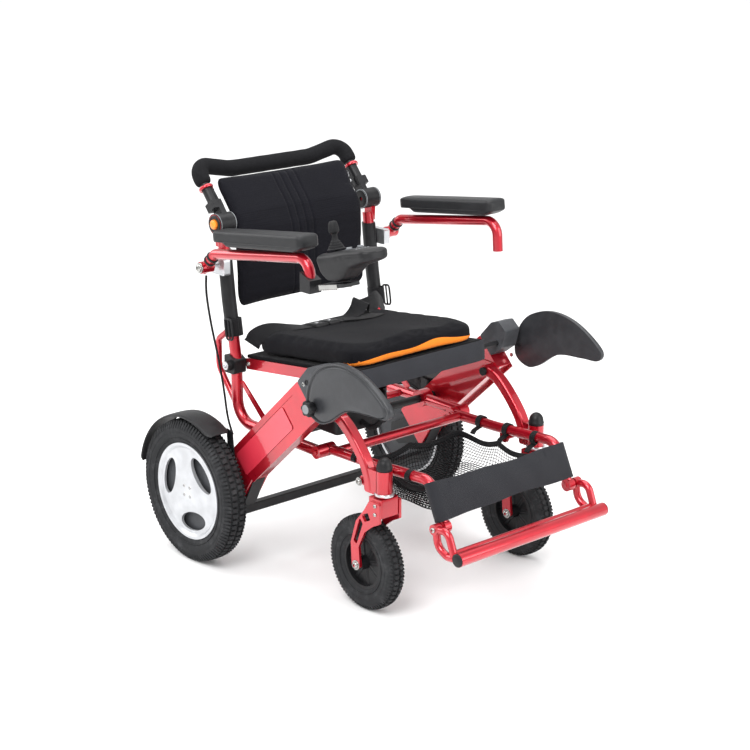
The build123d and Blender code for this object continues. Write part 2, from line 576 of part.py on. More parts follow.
with BuildPart() as joystick:
    with BuildSketch(control_plane(0, -6)) as stem:
        Circle(STICK_RADIUS)
    extrude(stem.sketch, amount=46)
    with BuildSketch(Plane(origin=control_plane(0, 0).origin, x_dir=(0, 1, 0),
                           z_dir=(control_c, 0, control_s))) as cross_pin:
        Circle(TRUNNION_RADIUS)
    extrude(cross_pin.sketch, amount=GIMBAL_INNER - GAP, both=True)
    with BuildSketch(control_plane(0, 38)) as knob:
        Circle(9)
    extrude(knob.sketch, amount=24, taper=6)
    with BuildSketch(control_plane(0, BOOT_UP)) as boot_foot:
        Circle(BOOT_RADIUS - 2)
        Circle(STICK_RADIUS + 3, mode=Mode.SUBTRACT)
    extrude(boot_foot.sketch, amount=BOOT_FLANGE)
    with BuildSketch(control_plane(0, BOOT_UP + BOOT_FLANGE)) as boot:
        Circle(BOOT_RADIUS - 3)
    extrude(boot.sketch, amount=30, taper=18)
write(joystick, "joystick")

for name, sideways in (("power_button", 14), ("speed_button", -14)):
    with BuildPart() as key:
        with BuildSketch(control_plane(56, 4)) as key_face:
            with Locations((0, sideways)):
                Circle(5.5)
        extrude(key_face.sketch, amount=7)
    write(key, name)

# ---------------------------------------------------------------- seat
RAIL_Y = SEAT_HALF - RAIL_WIDTH / 2 - 2
RAIL_BACK = -345.0
rail_outline = [seat_point(RAIL_BACK, -RAIL_DEPTH / 2), seat_point(12, -RAIL_DEPTH / 2),
                seat_point(12, RAIL_DEPTH / 2), seat_point(RAIL_BACK, RAIL_DEPTH / 2)]
with BuildPart() as seat_frame:
    for name, s in SIDES:
        plate(s * RAIL_Y, RAIL_WIDTH, rail_outline, 2)
    for along in (RAIL_BACK + 30, -60):
        x, z = seat_point(along, 0)
        rod([(x, RAIL_Y, z), (x, -RAIL_Y, z)], 8)
    across(SEAT_X, SEAT_Z, 200, -200, PIN_RADIUS + 1 + RUNNING, mode=Mode.SUBTRACT)
write(seat_frame, "seat_frame")

with BuildPart() as seat_front_panel:
    plate(0, 2 * SEAT_HALF, [seat_point(12.5, -26), seat_point(24, -24), seat_point(24, 20),
                             seat_point(12.5, 20)], 2)
write(seat_front_panel, "seat_front_panel")

deck = RAIL_DEPTH / 2
with BuildPart() as seat_sling:
    plate(0, 2 * SEAT_HALF - 4, [seat_point(RAIL_BACK + 4, deck), seat_point(12, deck),
                                 seat_point(12, deck + SLING_THICKNESS),
                                 seat_point(RAIL_BACK + 4, deck + SLING_THICKNESS)])
write(seat_sling, "seat_sling")

cushion_bottom = deck + SLING_THICKNESS + GAP
with BuildPart() as seat_cushion:
    plate(0, 2 * SEAT_HALF, [
        seat_point(24 - CUSHION_LENGTH, cushion_bottom), seat_point(24, cushion_bottom),
        seat_point(24, cushion_bottom + CUSHION_HEIGHT - 4), seat_point(-10, cushion_bottom + CUSHION_HEIGHT),
        seat_point(40 - CUSHION_LENGTH, cushion_bottom + CUSHION_HEIGHT),
        seat_point(24 - CUSHION_LENGTH, cushion_bottom + CUSHION_HEIGHT - 8)], 3)
write(seat_cushion, "seat_cushion")

# lap belt, two webbing halves that lie on the cushion
BELT_WIDTH = 50.0
BELT_THICKNESS = 2.5
BELT_GAP = 0.5
cushion_top = cushion_bottom + CUSHION_HEIGHT
for name, s, reach in (("right", -1, 70), ("left", 1, 10)):
    with BuildPart() as belt:
        with BuildSketch(Plane(origin=(SEAT_X, 0, SEAT_Z), x_dir=(0, 1, 0),
                               z_dir=(-cos(radians(SEAT_TILT)), 0, -sin(radians(SEAT_TILT))))) as strap:
            with BuildLine():
                Polyline((s * (SEAT_HALF + BELT_GAP), deck + 4), (s * (SEAT_HALF + BELT_GAP), cushion_top + 1),
                         (s * reach, cushion_top + 1), (s * reach, cushion_top + 1 + BELT_THICKNESS),
                         (s * (SEAT_HALF + BELT_GAP + BELT_THICKNESS), cushion_top + 1 + BELT_THICKNESS),
                         (s * (SEAT_HALF + BELT_GAP + BELT_THICKNESS), deck + 4), close=True)
            make_face()
        extrude(strap.sketch, amount=330)
        with BuildSketch(Plane(origin=(SEAT_X, 0, SEAT_Z), x_dir=(0, 1, 0),
                               z_dir=(-cos(radians(SEAT_TILT)), 0, -sin(radians(SEAT_TILT))))) as front:
            with Locations((0, cushion_top)):
                Rectangle(500, 300)
        extrude(front.sketch, amount=330 - BELT_WIDTH, mode=Mode.SUBTRACT)
    write(belt, f"lap_belt_{name}")

# ---------------------------------------------------------------- lower frame, basket, calf strap
TUBE_BEND = (318.0, 304.0)
lower_path = [(LINK_X, LINK_Z), (150.0, 294.0), TUBE_BEND, (FOOT_X + 2, FOOT_Z - 6)]
with BuildPart() as lower_frame:
    for name, s in SIDES:
        rod([(x, s * LOWER_Y, z) for x, z in lower_path], LOWER_RADIUS, [300, 34])
        across(LINK_X, LINK_Z, s * (LOWER_Y - 9), s * (LOWER_Y + 9), 14)
        across(FOOT_X, FOOT_Z, s * (LOWER_Y - 8), s * (LOWER_Y + 8), 13)
        plate(s * (LOWER_Y + 1), 9, [(TIE_X - 11, TIE_Z), (TIE_X - 6, TIE_Z - 10), (TIE_X + 6, TIE_Z - 10),
                                     (TIE_X + 11, TIE_Z), (TIE_X + 11, TIE_Z + 18), (TIE_X - 11, TIE_Z + 18)])
        across(TIE_X, TIE_Z, s * (LOWER_Y - 2), s * (LEG_Y - LEG_WIDTH / 2 - GAP), PIN_RADIUS + 2)
    rod([(LINK_X + 24, LOWER_Y - 3, LINK_Z), (LINK_X + 24, -LOWER_Y + 3, LINK_Z)], LOWER_RADIUS - 1)
    for name, s in SIDES:
        across(LINK_X, LINK_Z, s * 150, s * 200, PIN_RADIUS + RUNNING, mode=Mode.SUBTRACT)
        across(FOOT_X, FOOT_Z, s * 150, s * 200, PIN_RADIUS + RUNNING, mode=Mode.SUBTRACT)
write(lower_frame, "lower_frame")

STRAP_WALL = 2.5
STRAP_GAP = 0.6
BASKET_HALF = 150.0
BASKET_FLOOR = 207.0
BASKET_RIM = 276.0
BASKET_BACK, BASKET_FRONT = 62.0, 300.0
BASKET_WALL = 3.0
with BuildPart() as basket:
    with BuildSketch(Plane.XY.offset(BASKET_RIM)) as mouth:
        with Locations(((BASKET_BACK + BASKET_FRONT) / 2, 0)):
            RectangleRounded(BASKET_FRONT - BASKET_BACK, 2 * BASKET_HALF, 30)
    extrude(mouth.sketch, amount=BASKET_FLOOR - BASKET_RIM, taper=8)
    with BuildSketch(Plane.XY.offset(BASKET_RIM)) as hollow:
        with Locations(((BASKET_BACK + BASKET_FRONT) / 2, 0)):
            RectangleRounded(BASKET_FRONT - BASKET_BACK - 2 * BASKET_WALL,
                             2 * (BASKET_HALF - BASKET_WALL), 28)
    extrude(hollow.sketch, amount=BASKET_FLOOR + BASKET_WALL - BASKET_RIM, taper=8, mode=Mode.SUBTRACT)
write(basket, "basket")

STRAP_LOW, STRAP_HIGH = 22.0, 90.0
STRAP_RUN = atan2(TUBE_BEND[1] - FOOT_Z + 6, TUBE_BEND[0] - FOOT_X - 2)
STRAP_OUT = LOWER_RADIUS + STRAP_GAP


def strap_point(along, out):
    """Point of the side plane beside the sloping front of the lower frame."""
    return (FOOT_X + 2 + along * cos(STRAP_RUN) + out * sin(STRAP_RUN),
            FOOT_Z - 6 + along * sin(STRAP_RUN) - out * cos(STRAP_RUN))


with BuildPart() as calf_strap:
    plate(0, 2 * (LOWER_Y + STRAP_OUT + STRAP_WALL), [
        strap_point(STRAP_LOW, STRAP_OUT), strap_point(STRAP_LOW, STRAP_OUT + STRAP_WALL),
        strap_point(STRAP_HIGH, STRAP_OUT + STRAP_WALL), strap_point(STRAP_HIGH, STRAP_OUT)])
    for name, s in SIDES:
        plate(s * (LOWER_Y + STRAP_OUT + STRAP_WALL / 2), STRAP_WALL, [
            strap_point(STRAP_LOW, -16), strap_point(STRAP_LOW, STRAP_OUT + 1),
            strap_point(STRAP_HIGH - 14, STRAP_OUT + 1), strap_point(STRAP_HIGH - 14, -16)])
write(calf_strap, "calf_strap")

# ---------------------------------------------------------------- front legs and caster housings
STEM_X = REAR_AXLE_X + WHEELBASE + CASTER_TRAIL
HOUSING_RADIUS = 17.0
HOUSING_TOP, HOUSING_BOTTOM = 310.0, 256.0
STEM_RADIUS = 7.0
BRACKET_X = STEM_X - 34.0
for name, s in SIDES:
    y = s * LEG_Y
    with BuildPart() as leg:
        with BuildLine() as leg_line:
            Spline((LEG_X, y, LEG_Z), (124, y, 372), (164, y, 330), (BRACKET_X, y, 262),
                   tangents=((0.9, 0, -0.1), (0.1, 0, -1)))
        with BuildSketch(Plane(leg_line.line @ 0, x_dir=(0, 1, 0), z_dir=leg_line.line % 0)) as leg_face:
            RectangleRounded(LEG_WIDTH, LEG_DEPTH - 4, 5)
        sweep(leg_face.sketch, path=leg_line.line)
        across(LEG_X, LEG_Z, s * (LEG_Y - LEG_WIDTH / 2), s * (LEG_Y + LEG_WIDTH / 2), LEG_DEPTH / 2)
        plate(y, LEG_WIDTH - 4, [(BRACKET_X - 8, HOUSING_BOTTOM + 2), (STEM_X, HOUSING_BOTTOM + 2),
                                 (STEM_X, HOUSING_TOP - 2), (BRACKET_X - 8, HOUSING_TOP - 2)])
        plate(y, 8, [(TIE_X - 9, TIE_Z - 9), (BRACKET_X, TIE_Z - 12), (BRACKET_X, TIE_Z + 18),
                     (TIE_X - 7, TIE_Z + 8)], 3)
        with BuildSketch(Plane.XY.offset(HOUSING_BOTTOM)) as housing:
            with Locations((STEM_X, s * CASTER_Y)):
                Circle(HOUSING_RADIUS)
        extrude(housing.sketch, amount=HOUSING_TOP - HOUSING_BOTTOM)
        with BuildSketch(Plane.XY.offset(HOUSING_BOTTOM)) as stem_bore:
            with Locations((STEM_X, s * CASTER_Y)):
                Circle(STEM_RADIUS + RUNNING)
        extrude(stem_bore.sketch, amount=HOUSING_TOP - HOUSING_BOTTOM - 8, mode=Mode.SUBTRACT)
        across(LEG_X, LEG_Z, s * 190, s * 250, PIN_RADIUS + RUNNING, mode=Mode.SUBTRACT)
        across(TIE_X, TIE_Z, s * (LEG_Y + LEG_WIDTH / 2), s * (LEG_Y + 3), PIN_RADIUS + 2, mode=Mode.ADD)
    write(leg, f"front_leg_{name}")

# ---------------------------------------------------------------- casters
AXLE_X = STEM_X - CASTER_TRAIL
CROWN_TOP = HOUSING_BOTTOM - 1.0
CROWN_BOTTOM = CASTER_RADIUS * 2 + 7
CHEEK_Y = CASTER_TYRE_WIDTH / 2 + 5
CHEEK_WALL = 6.0
cheek_outline = [
    (STEM_X + 18, CROWN_TOP - 6), (STEM_X + 18, CROWN_BOTTOM), (STEM_X - 2, CROWN_BOTTOM - 10),
    (STEM_X - 26, CASTER_RADIUS + 78), (AXLE_X + 8, CASTER_RADIUS + 42), (AXLE_X + 12, CASTER_RADIUS - 2),
    (AXLE_X, CASTER_RADIUS - 12), (AXLE_X - 13, CASTER_RADIUS - 2), (AXLE_X - 16, CASTER_RADIUS + 46),
    (STEM_X - 52, CASTER_RADIUS + 96), (STEM_X - 28, CROWN_BOTTOM + 18), (STEM_X - 12, CROWN_TOP - 6),
]
for name, s in SIDES:
    y = s * CASTER_Y
    with BuildPart() as fork:
        with BuildSketch(Plane.XY.offset(CROWN_TOP - 38)) as crown:
            with Locations((STEM_X - 2, y)):
                RectangleRounded(38, 2 * CHEEK_Y - CHEEK_WALL + 0.5, 4)
        extrude(crown.sketch, amount=38)
        with BuildSketch(Plane.XY.offset(CROWN_TOP - 1)) as stem:
            with Locations((STEM_X, y)):
                Circle(STEM_RADIUS)
        extrude(stem.sketch, amount=HOUSING_TOP - CROWN_TOP - 12)
        for cheek in (-1, 1):
            plate(y + cheek * CHEEK_Y, CHEEK_WALL, cheek_outline, 3)
        across(AXLE_X, CASTER_RADIUS, y - CHEEK_Y - CHEEK_WALL / 2 - 4, y + CHEEK_Y + CHEEK_WALL / 2 + 4,
               PIN_RADIUS)
        for cheek in (-1, 1):
            plate(y + cheek * CHEEK_Y, CHEEK_WALL + 2, [
                (STEM_X - 16, CROWN_BOTTOM + 16), (STEM_X - 34, CROWN_BOTTOM + 6), (STEM_X - 26, CROWN_BOTTOM - 6),
                (STEM_X - 8, CROWN_BOTTOM + 2)], 3, mode=Mode.SUBTRACT)
            plate(y + cheek * CHEEK_Y, CHEEK_WALL + 2, [
                (STEM_X - 40, CROWN_BOTTOM), (AXLE_X - 7, CASTER_RADIUS + 52), (AXLE_X + 2, CASTER_RADIUS + 46),
                (STEM_X - 31, CROWN_BOTTOM - 12)], 3, mode=Mode.SUBTRACT)
    write(fork, f"caster_fork_{name}")

    with BuildPart() as caster_tyre:
        with BuildSketch(Plane(origin=(AXLE_X, y, CASTER_RADIUS), x_dir=(1, 0, 0), z_dir=(0, 0, 1))) as section:
            with BuildLine():
                half = CASTER_TYRE_WIDTH / 2
                Polyline((CASTER_RIM_RADIUS, -14), (CASTER_RIM_RADIUS + 8, -half + 3), (CASTER_RADIUS - 18, -half),
                         (CASTER_RADIUS - 5, -half + 5), (CASTER_RADIUS, -9), (CASTER_RADIUS, 9),
                         (CASTER_RADIUS - 5, half - 5), (CASTER_RADIUS - 18, half),
                         (CASTER_RIM_RADIUS + 8, half - 3), (CASTER_RIM_RADIUS, 14), close=True)
            make_face()
        revolve(section.sketch, Axis((AXLE_X, y, CASTER_RADIUS), (0, 1, 0)))
    write(caster_tyre, f"caster_tyre_{name}")

    with BuildPart() as caster_rim:
        across(AXLE_X, CASTER_RADIUS, y - 14, y + 14, CASTER_RIM_RADIUS)
        for face in (-1, 1):
            across(AXLE_X, CASTER_RADIUS, y + face * 14, y + face * 3, CASTER_RIM_RADIUS - 6, mode=Mode.SUBTRACT)
        across(AXLE_X, CASTER_RADIUS, y - CHEEK_Y + CHEEK_WALL / 2 + GAP, y + CHEEK_Y - CHEEK_WALL / 2 - GAP, 14)
        for turn in range(8):
            angle = turn * 45 + 10
            tip = polar(CASTER_RIM_RADIUS - 4, angle)
            root = polar(12, angle)
            rod([(AXLE_X + root[0], y, CASTER_RADIUS + root[1]), (AXLE_X + tip[0], y, CASTER_RADIUS + tip[1])], 5)
        across(AXLE_X, CASTER_RADIUS, y - 60, y + 60, PIN_RADIUS + RUNNING, mode=Mode.SUBTRACT)
    write(caster_rim, f"caster_rim_{name}")

# ---------------------------------------------------------------- footrest
HANGER_RADIUS = 8.0
HANGER_INNER = LOWER_Y + LOWER_RADIUS + STRAP_GAP + STRAP_WALL + GAP
HANGER_Y = HANGER_INNER + HANGER_RADIUS
STEP_X = FOOT_X + 46.0
with BuildPart() as footrest:
    for name, s in SIDES:
        y = s * HANGER_Y
        rod([(FOOT_X, y, FOOT_Z), (FOOT_X + 6, y, FOOT_Z - 36), (FOOT_X + 34, y, FOOT_FRONT_Z - 6),
             (FOOT_FRONT_X, y, FOOT_FRONT_Z - 2)], HANGER_RADIUS, [30, 20])
        rod([(FOOT_X, y, FOOT_Z), (FOOT_X + 34, y, FOOT_Z + 4), (STEP_X + 6, y, FOOT_FRONT_Z)],
            HANGER_RADIUS, [20])
        across(FOOT_X, FOOT_Z, s * HANGER_INNER, s * (HANGER_Y + HANGER_RADIUS), 11)
        across(FOOT_X, FOOT_Z, s * (LOWER_Y - 12), s * (HANGER_Y + HANGER_RADIUS + 2), PIN_RADIUS)
    rod([(FOOT_FRONT_X, HANGER_Y + HANGER_RADIUS, FOOT_FRONT_Z),
         (FOOT_FRONT_X, -HANGER_Y - HANGER_RADIUS, FOOT_FRONT_Z)], FOOT_TUBE_RADIUS)
    rod([(STEP_X, HANGER_Y, FOOT_FRONT_Z), (STEP_X, -HANGER_Y, FOOT_FRONT_Z)], 9)
write(footrest, "footrest")

# ---------------------------------------------------------------- knee guards
for name, s in SIDES:
    with BuildPart() as knee_guard:
        with BuildSketch(side(s * GUARD_Y)) as leaf:
            with BuildLine():
                Spline((GUARD_X - 26, GUARD_Z - 8), (GUARD_X - 20, GUARD_Z + 44), (GUARD_X + 14, GUARD_Z + 86),
                       (GUARD_X + 78, GUARD_Z + 106), (GUARD_X + 150, GUARD_Z + 94),
                       (GUARD_X + 218, GUARD_Z + 52), (GUARD_X + 216, GUARD_Z + 26),
                       (GUARD_X + 170, GUARD_Z + 22), (GUARD_X + 100, GUARD_Z + 14),
                       (GUARD_X + 40, GUARD_Z - 24), (GUARD_X + 6, GUARD_Z - 30), periodic=True)
            make_face()
        extrude(leaf.sketch, amount=GUARD_THICKNESS / 2, both=True)
        across(GUARD_X, GUARD_Z, s * 240, s * 320, PIN_RADIUS + RUNNING, mode=Mode.SUBTRACT)
    write(knee_guard, f"knee_guard_{name}")

    knob_from = GUARD_Y + GUARD_THICKNESS / 2 + GAP
    with BuildPart() as guard_knob:
        across(GUARD_X, GUARD_Z, s * knob_from, s * (knob_from + 20), 17)
        with BuildSketch(side(s * knob_from)) as grips:
            with Locations((GUARD_X, GUARD_Z)):
                with PolarLocations(17, 6):
                    Circle(6)
        extrude(grips.sketch, amount=-s * 16)
        across(GUARD_X, GUARD_Z, s * (ARM_INNER_Y + 14), s * (knob_from + 4), PIN_RADIUS - RUNNING)
    write(guard_knob, f"guard_knob_{name}")

# ---------------------------------------------------------------- control cable, clipped to the back post
CABLE_RADIUS = 2.5
CABLE_Y = -(POST_Y + POST_RADIUS + 6.0)
cable_route = [
    (-312.0, CABLE_Y - 22, 612.0), (-318.0, CABLE_Y - 20, 585.0), (-322.0, CABLE_Y - 12, 540.0),
    (-318.0, CABLE_Y - 6, 490.0), (-304.0, CABLE_Y - 4, 440.0), (-292.0, CABLE_Y - 3, 392.0),
    (-284.0, CABLE_Y - 2, 350.0), (-279.0, CABLE_Y - 2, 318.0), (-268.0, CABLE_Y - 4, 288.0),
    (-250.0, CABLE_Y - 8, 268.0),
]
bends = []
for before, corner, after in zip(cable_route, cable_route[1:], cable_route[2:]):
    first = Vector(*corner) - Vector(*before)
    second = Vector(*after) - Vector(*corner)
    turn = first.get_angle(second)
    bends.append(0.45 * min(first.length, second.length) / tan(radians(turn / 2)))
print("control cable bend radii", [round(r) for r in bends])
with BuildPart() as control_cable:
    rod(cable_route, CABLE_RADIUS, bends)
write(control_cable, "control_cable")
print("pieces written", len(os.listdir("parts")))
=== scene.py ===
"""Looks of a folding power wheelchair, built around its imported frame.

Metres. X points forward, Y to the sitter's left, Z up. The frame holds the tubes, hinges, wheels
and brackets; this file dresses them and adds the padded, woven, moulded and turned pieces.
"""
import json
import logging
from dataclasses import dataclass
from enum import Enum
from math import cos, pi, radians, sin, tau
from typing import Callable, Sequence, Union

import bmesh
import bpy
import numpy as np
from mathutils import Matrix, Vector
from mathutils.bvhtree import BVHTree

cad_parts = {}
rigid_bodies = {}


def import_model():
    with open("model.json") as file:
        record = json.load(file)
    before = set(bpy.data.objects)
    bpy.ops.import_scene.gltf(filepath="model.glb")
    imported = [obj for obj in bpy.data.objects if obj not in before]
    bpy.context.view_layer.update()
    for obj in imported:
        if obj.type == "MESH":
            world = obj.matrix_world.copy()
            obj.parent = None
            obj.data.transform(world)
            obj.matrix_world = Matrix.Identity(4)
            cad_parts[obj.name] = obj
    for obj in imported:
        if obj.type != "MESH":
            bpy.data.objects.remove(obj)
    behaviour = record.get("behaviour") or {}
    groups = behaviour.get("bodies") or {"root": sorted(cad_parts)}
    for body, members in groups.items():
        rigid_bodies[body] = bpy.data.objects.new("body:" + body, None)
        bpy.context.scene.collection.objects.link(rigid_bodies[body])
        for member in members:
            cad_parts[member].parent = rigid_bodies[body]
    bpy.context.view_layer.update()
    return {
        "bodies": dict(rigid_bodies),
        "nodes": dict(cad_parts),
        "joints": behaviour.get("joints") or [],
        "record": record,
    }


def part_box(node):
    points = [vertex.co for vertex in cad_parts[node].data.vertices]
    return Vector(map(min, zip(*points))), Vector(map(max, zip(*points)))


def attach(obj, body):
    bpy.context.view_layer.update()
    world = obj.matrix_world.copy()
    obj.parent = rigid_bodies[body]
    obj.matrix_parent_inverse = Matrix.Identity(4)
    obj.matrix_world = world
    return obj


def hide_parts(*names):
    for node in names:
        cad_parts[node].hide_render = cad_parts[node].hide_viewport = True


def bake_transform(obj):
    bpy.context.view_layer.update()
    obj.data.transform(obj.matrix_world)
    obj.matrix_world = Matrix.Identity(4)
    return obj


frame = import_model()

log = logging.getLogger("wheelchair")
Number = Union[int, float]
Colour = tuple[float, float, float]
SIDES = (("right", -1.0), ("left", 1.0))


# ---------------------------------------------------------------- shader expressions
class Value:
    """A shader socket that can be used in Python arithmetic, adding one Math node per operation."""

    def __init__(self, shader: "Shader", socket: bpy.types.NodeSocket) -> None:
        """Wrap an output socket of a shader's tree."""
        self.shader = shader
        self.socket = socket

    def _math(self, operation: str, *terms: Union["Value", Number]) -> "Value":
        """One Math node.

        Args:
            operation: The node's operation.
            terms: Its inputs, in order.

        Returns:
            The node's output.
        """
        return self.shader.node("ShaderNodeMath", {"operation": operation}, terms)

    def __add__(self, other: Union["Value", Number]) -> "Value":
        """Sum."""
        return self._math("ADD", self, other)

    __radd__ = __add__

    def __mul__(self, other: Union["Value", Number]) -> "Value":
        """Product."""
        return self._math("MULTIPLY", self, other)

    __rmul__ = __mul__

    def __sub__(self, other: Union["Value", Number]) -> "Value":
        """Difference."""
        return self._math("SUBTRACT", self, other)

    def __rsub__(self, other: Number) -> "Value":
        """Difference with the socket second."""
        return self._math("SUBTRACT", other, self)

    def __truediv__(self, other: Union["Value", Number]) -> "Value":
        """Quotient."""
        return self._math("DIVIDE", self, other)

    def __pow__(self, other: Union["Value", Number]) -> "Value":
        """Power."""
        return self._math("POWER", self, other)

    def __abs__(self) -> "Value":
        """Size without sign."""
        return self._math("ABSOLUTE", self)

    def sine(self) -> "Value":
        """Sine of an angle in radians."""
        return self._math("SINE", self)

    def least(self, other: Union["Value", Number]) -> "Value":
        """The smaller of two."""
        return self._math("MINIMUM", self, other)

    def ramp(self, low: float, high: float) -> "Value":
        """Smooth step from 0 at low to 1 at high."""
        settings = {"interpolation_type": "SMOOTHSTEP"}
        return self.shader.node("ShaderNodeMapRange", settings,
                                {"Value": self, "From Min": low, "From Max": high})


class Shader:
    """The node tree of one material, ending in a Principled shader."""

    def __init__(self, name: str) -> None:
        """Start an empty tree with its Principled shader and output."""
        self.material = bpy.data.materials.new(name)
        self.material.use_nodes = True
        self.tree = self.material.node_tree
        self.principled = self.tree.nodes["Principled BSDF"]

    def node(self, kind: str, settings: dict = None, inputs: Union[dict, Sequence] = (),
             output: Union[int, str] = 0) -> Value:
        """Add any node.

        Args:
            kind: Its bl_idname.
            settings: Properties set first; "stops" gives a colour ramp's positions and colours.
            inputs: Values or links, by position or by socket name.
            output: The socket to return.

        Returns:
            The chosen output.
        """
        made = self.tree.nodes.new(kind)
        for key, value in (settings or {}).items():
            if key == "stops":
                for element, (position, colour) in zip(made.color_ramp.elements, value):
                    element.position, element.color = position, (*colour, 1.0)
            else:
                setattr(made, key, value)
        pairs = inputs.items() if isinstance(inputs, dict) else enumerate(inputs)
        for key, value in pairs:
            self.feed(made.inputs[key], value)
        return Value(self, made.outputs[output])

    def feed(self, socket: bpy.types.NodeSocket, value: Union[Value, Number, Sequence]) -> None:
        """Link or set one input socket."""
        if isinstance(value, Value):
            self.tree.links.new(value.socket, socket)
        elif hasattr(socket.default_value, "__len__") and len(socket.default_value) == 4:
            socket.default_value = (*value, 1.0)
        else:
            socket.default_value = value

    def object_point(self) -> Value:
        """Position on the piece, in metres."""
        return self.node("ShaderNodeTexCoord", output="Object")

    def uv(self) -> Value:
        """The piece's own UV map."""
        return self.node("ShaderNodeTexCoord", output="UV")

    def axes(self, point: Value) -> tuple[Value, Value, Value]:
        """The three parts of a vector."""
        split = self.tree.nodes.new("ShaderNodeSeparateXYZ")
        self.feed(split.inputs[0], point)
        return tuple(Value(self, out) for out in split.outputs)

    def noise(self, point: Value, scale: float, detail: float = 2.0, roughness: float = 0.5) -> Value:
        """Noise from 0 to 1, scale in waves per metre."""
        return self.node("ShaderNodeTexNoise",
                         inputs={"Vector": point, "Scale": scale, "Detail": detail, "Roughness": roughness})

    def cells(self, point: Value, scale: float) -> Value:
        """Distance to the nearest of scattered cell centres."""
        return self.node("ShaderNodeTexVoronoi", inputs={"Vector": point, "Scale": scale})

    def mix(self, factor: Union[Value, Number], first: Union[Value, Colour],
            second: Union[Value, Colour]) -> Value:
        """Blend of two colours."""
        made = self.tree.nodes.new("ShaderNodeMix")
        made.data_type = "RGBA"
        self.feed(made.inputs[0], factor)
        self.feed(made.inputs[6], first)
        self.feed(made.inputs[7], second)
        return Value(self, made.outputs[2])

    def bump(self, height: Value, distance: float, strength: float = 1.0, normal: Value = None) -> Value:
        """Normal from a height in units of distance."""
        inputs = {"Height": height, "Distance": distance, "Strength": strength}
        if normal is not None:
            inputs["Normal"] = normal
        return self.node("ShaderNodeBump", inputs=inputs)

    def close(self, **sockets: Union[Value, Number, Sequence]) -> bpy.types.Material:
        """Set the Principled shader's sockets, with underscores for spaces, and return the material."""
        for name, value in sockets.items():
            self.feed(self.principled.inputs[name.replace("_", " ")], value)
        return self.material


def darker(colour: Colour, share: float) -> Colour:
    """A colour scaled by a share."""
    return tuple(part * share for part in colour)


# ---------------------------------------------------------------- finishes
@dataclass(frozen=True)
class Lacquer:
    """Metallic paint under a clear coat, with fine flake, a cloudy colour variation and faint ripple."""

    name: str
    colour: Colour
    deep: Colour
    metallic: float = 0.62
    roughness: float = 0.3

    def build(self) -> bpy.types.Material:
        """Return the material."""
        s = Shader(self.name)
        p = s.object_point()
        flake = s.noise(p, 2600.0, 1.0)
        cloud = s.noise(p, 9.0, 3.0)
        colour = s.mix((flake * 0.45 + cloud * 0.55).ramp(0.3, 0.72), self.deep, self.colour)
        smear = s.noise(p, 60.0, 4.0, 0.65)
        ripple = s.bump(s.noise(p, 420.0, 1.0), 0.00006, 0.5)
        return s.close(Base_Color=colour, Metallic=self.metallic,
                       Roughness=self.roughness + (smear - 0.5) * 0.12,
                       Coat_Weight=1.0, Coat_Roughness=0.06, Normal=ripple)


@dataclass(frozen=True)
class Moulded:
    """Moulded plastic with a spark-eroded grain and small handling differences in gloss."""

    name: str
    colour: Colour
    roughness: float = 0.5
    grain: float = 1400.0
    depth: float = 0.00008
    specular: float = 0.26

    def build(self) -> bpy.types.Material:
        """Return the material."""
        s = Shader(self.name)
        p = s.object_point()
        cells = s.cells(p, self.grain)
        smear = s.noise(p, 38.0, 5.0, 0.6)
        colour = s.mix(smear.ramp(0.35, 0.7), self.colour, tuple(part * 1.25 + 0.004 for part in self.colour))
        normal = s.bump(cells + s.noise(p, self.grain * 0.6, 2.0), self.depth, 0.6)
        return s.close(Base_Color=colour, Roughness=self.roughness + (smear - 0.5) * 0.22 + cells * 0.06,
                       Specular_IOR_Level=self.specular, Normal=normal)


@dataclass(frozen=True)
class BareMetal:
    """Cast, plated or brushed metal with fine scratches."""

    name: str
    colour: Colour
    roughness: float = 0.32
    metallic: float = 1.0
    scratch: float = 0.1

    def build(self) -> bpy.types.Material:
        """Return the material."""
        s = Shader(self.name)
        p = s.object_point()
        stretched = s.node("ShaderNodeMapping", inputs={"Vector": p, "Scale": (40.0, 900.0, 300.0)})
        lines = s.noise(stretched, 1.0, 3.0)
        cloud = s.noise(p, 30.0, 4.0)
        colour = s.mix(cloud.ramp(0.3, 0.75), darker(self.colour, 0.82), self.colour)
        return s.close(Base_Color=colour, Metallic=self.metallic,
                       Roughness=self.roughness + (lines - 0.5) * self.scratch + (cloud - 0.5) * 0.1,
                       Normal=s.bump(lines, 0.00004, 0.5))


@dataclass(frozen=True)
class TyreRubber:
    """Grey-black solid rubber, dusty, with fine specks in its bump."""

    name: str
    colour: Colour
    dust: Colour

    def build(self) -> bpy.types.Material:
        """Return the material."""
        s = Shader(self.name)
        p = s.object_point()
        dirt = s.noise(p, 45.0, 6.0, 0.7)
        speck = s.noise(p, 900.0, 2.0)
        colour = s.mix(dirt.ramp(0.45, 0.8) * 0.55, self.colour, self.dust)
        return s.close(Base_Color=colour, Roughness=0.62 + dirt * 0.25, Specular_IOR_Level=0.14,
                       Normal=s.bump(speck * 0.6 + dirt, 0.00015, 0.55))


@dataclass(frozen=True)
class Foam:
    """Closed-cell foam sleeve: small pores with painted shade in their hollows, and a dull skin."""

    name: str
    colour: Colour

    def build(self) -> bpy.types.Material:
        """Return the material."""
        s = Shader(self.name)
        p = s.object_point()
        pores = s.cells(p, 620.0)
        fine = s.noise(p, 1500.0, 3.0)
        # Painted shade: the colour is darkest at the pore centres, the hollows of the bump, and lighter between
        # pores.
        colour = s.mix(pores.ramp(0.1, 0.7), darker(self.colour, 0.45), tuple(c * 1.5 for c in self.colour))
        return s.close(Base_Color=colour, Roughness=0.82 + fine * 0.12, Specular_IOR_Level=0.10,
                       Normal=s.bump(pores * 0.8 + fine * 0.4, 0.00035, 0.7))


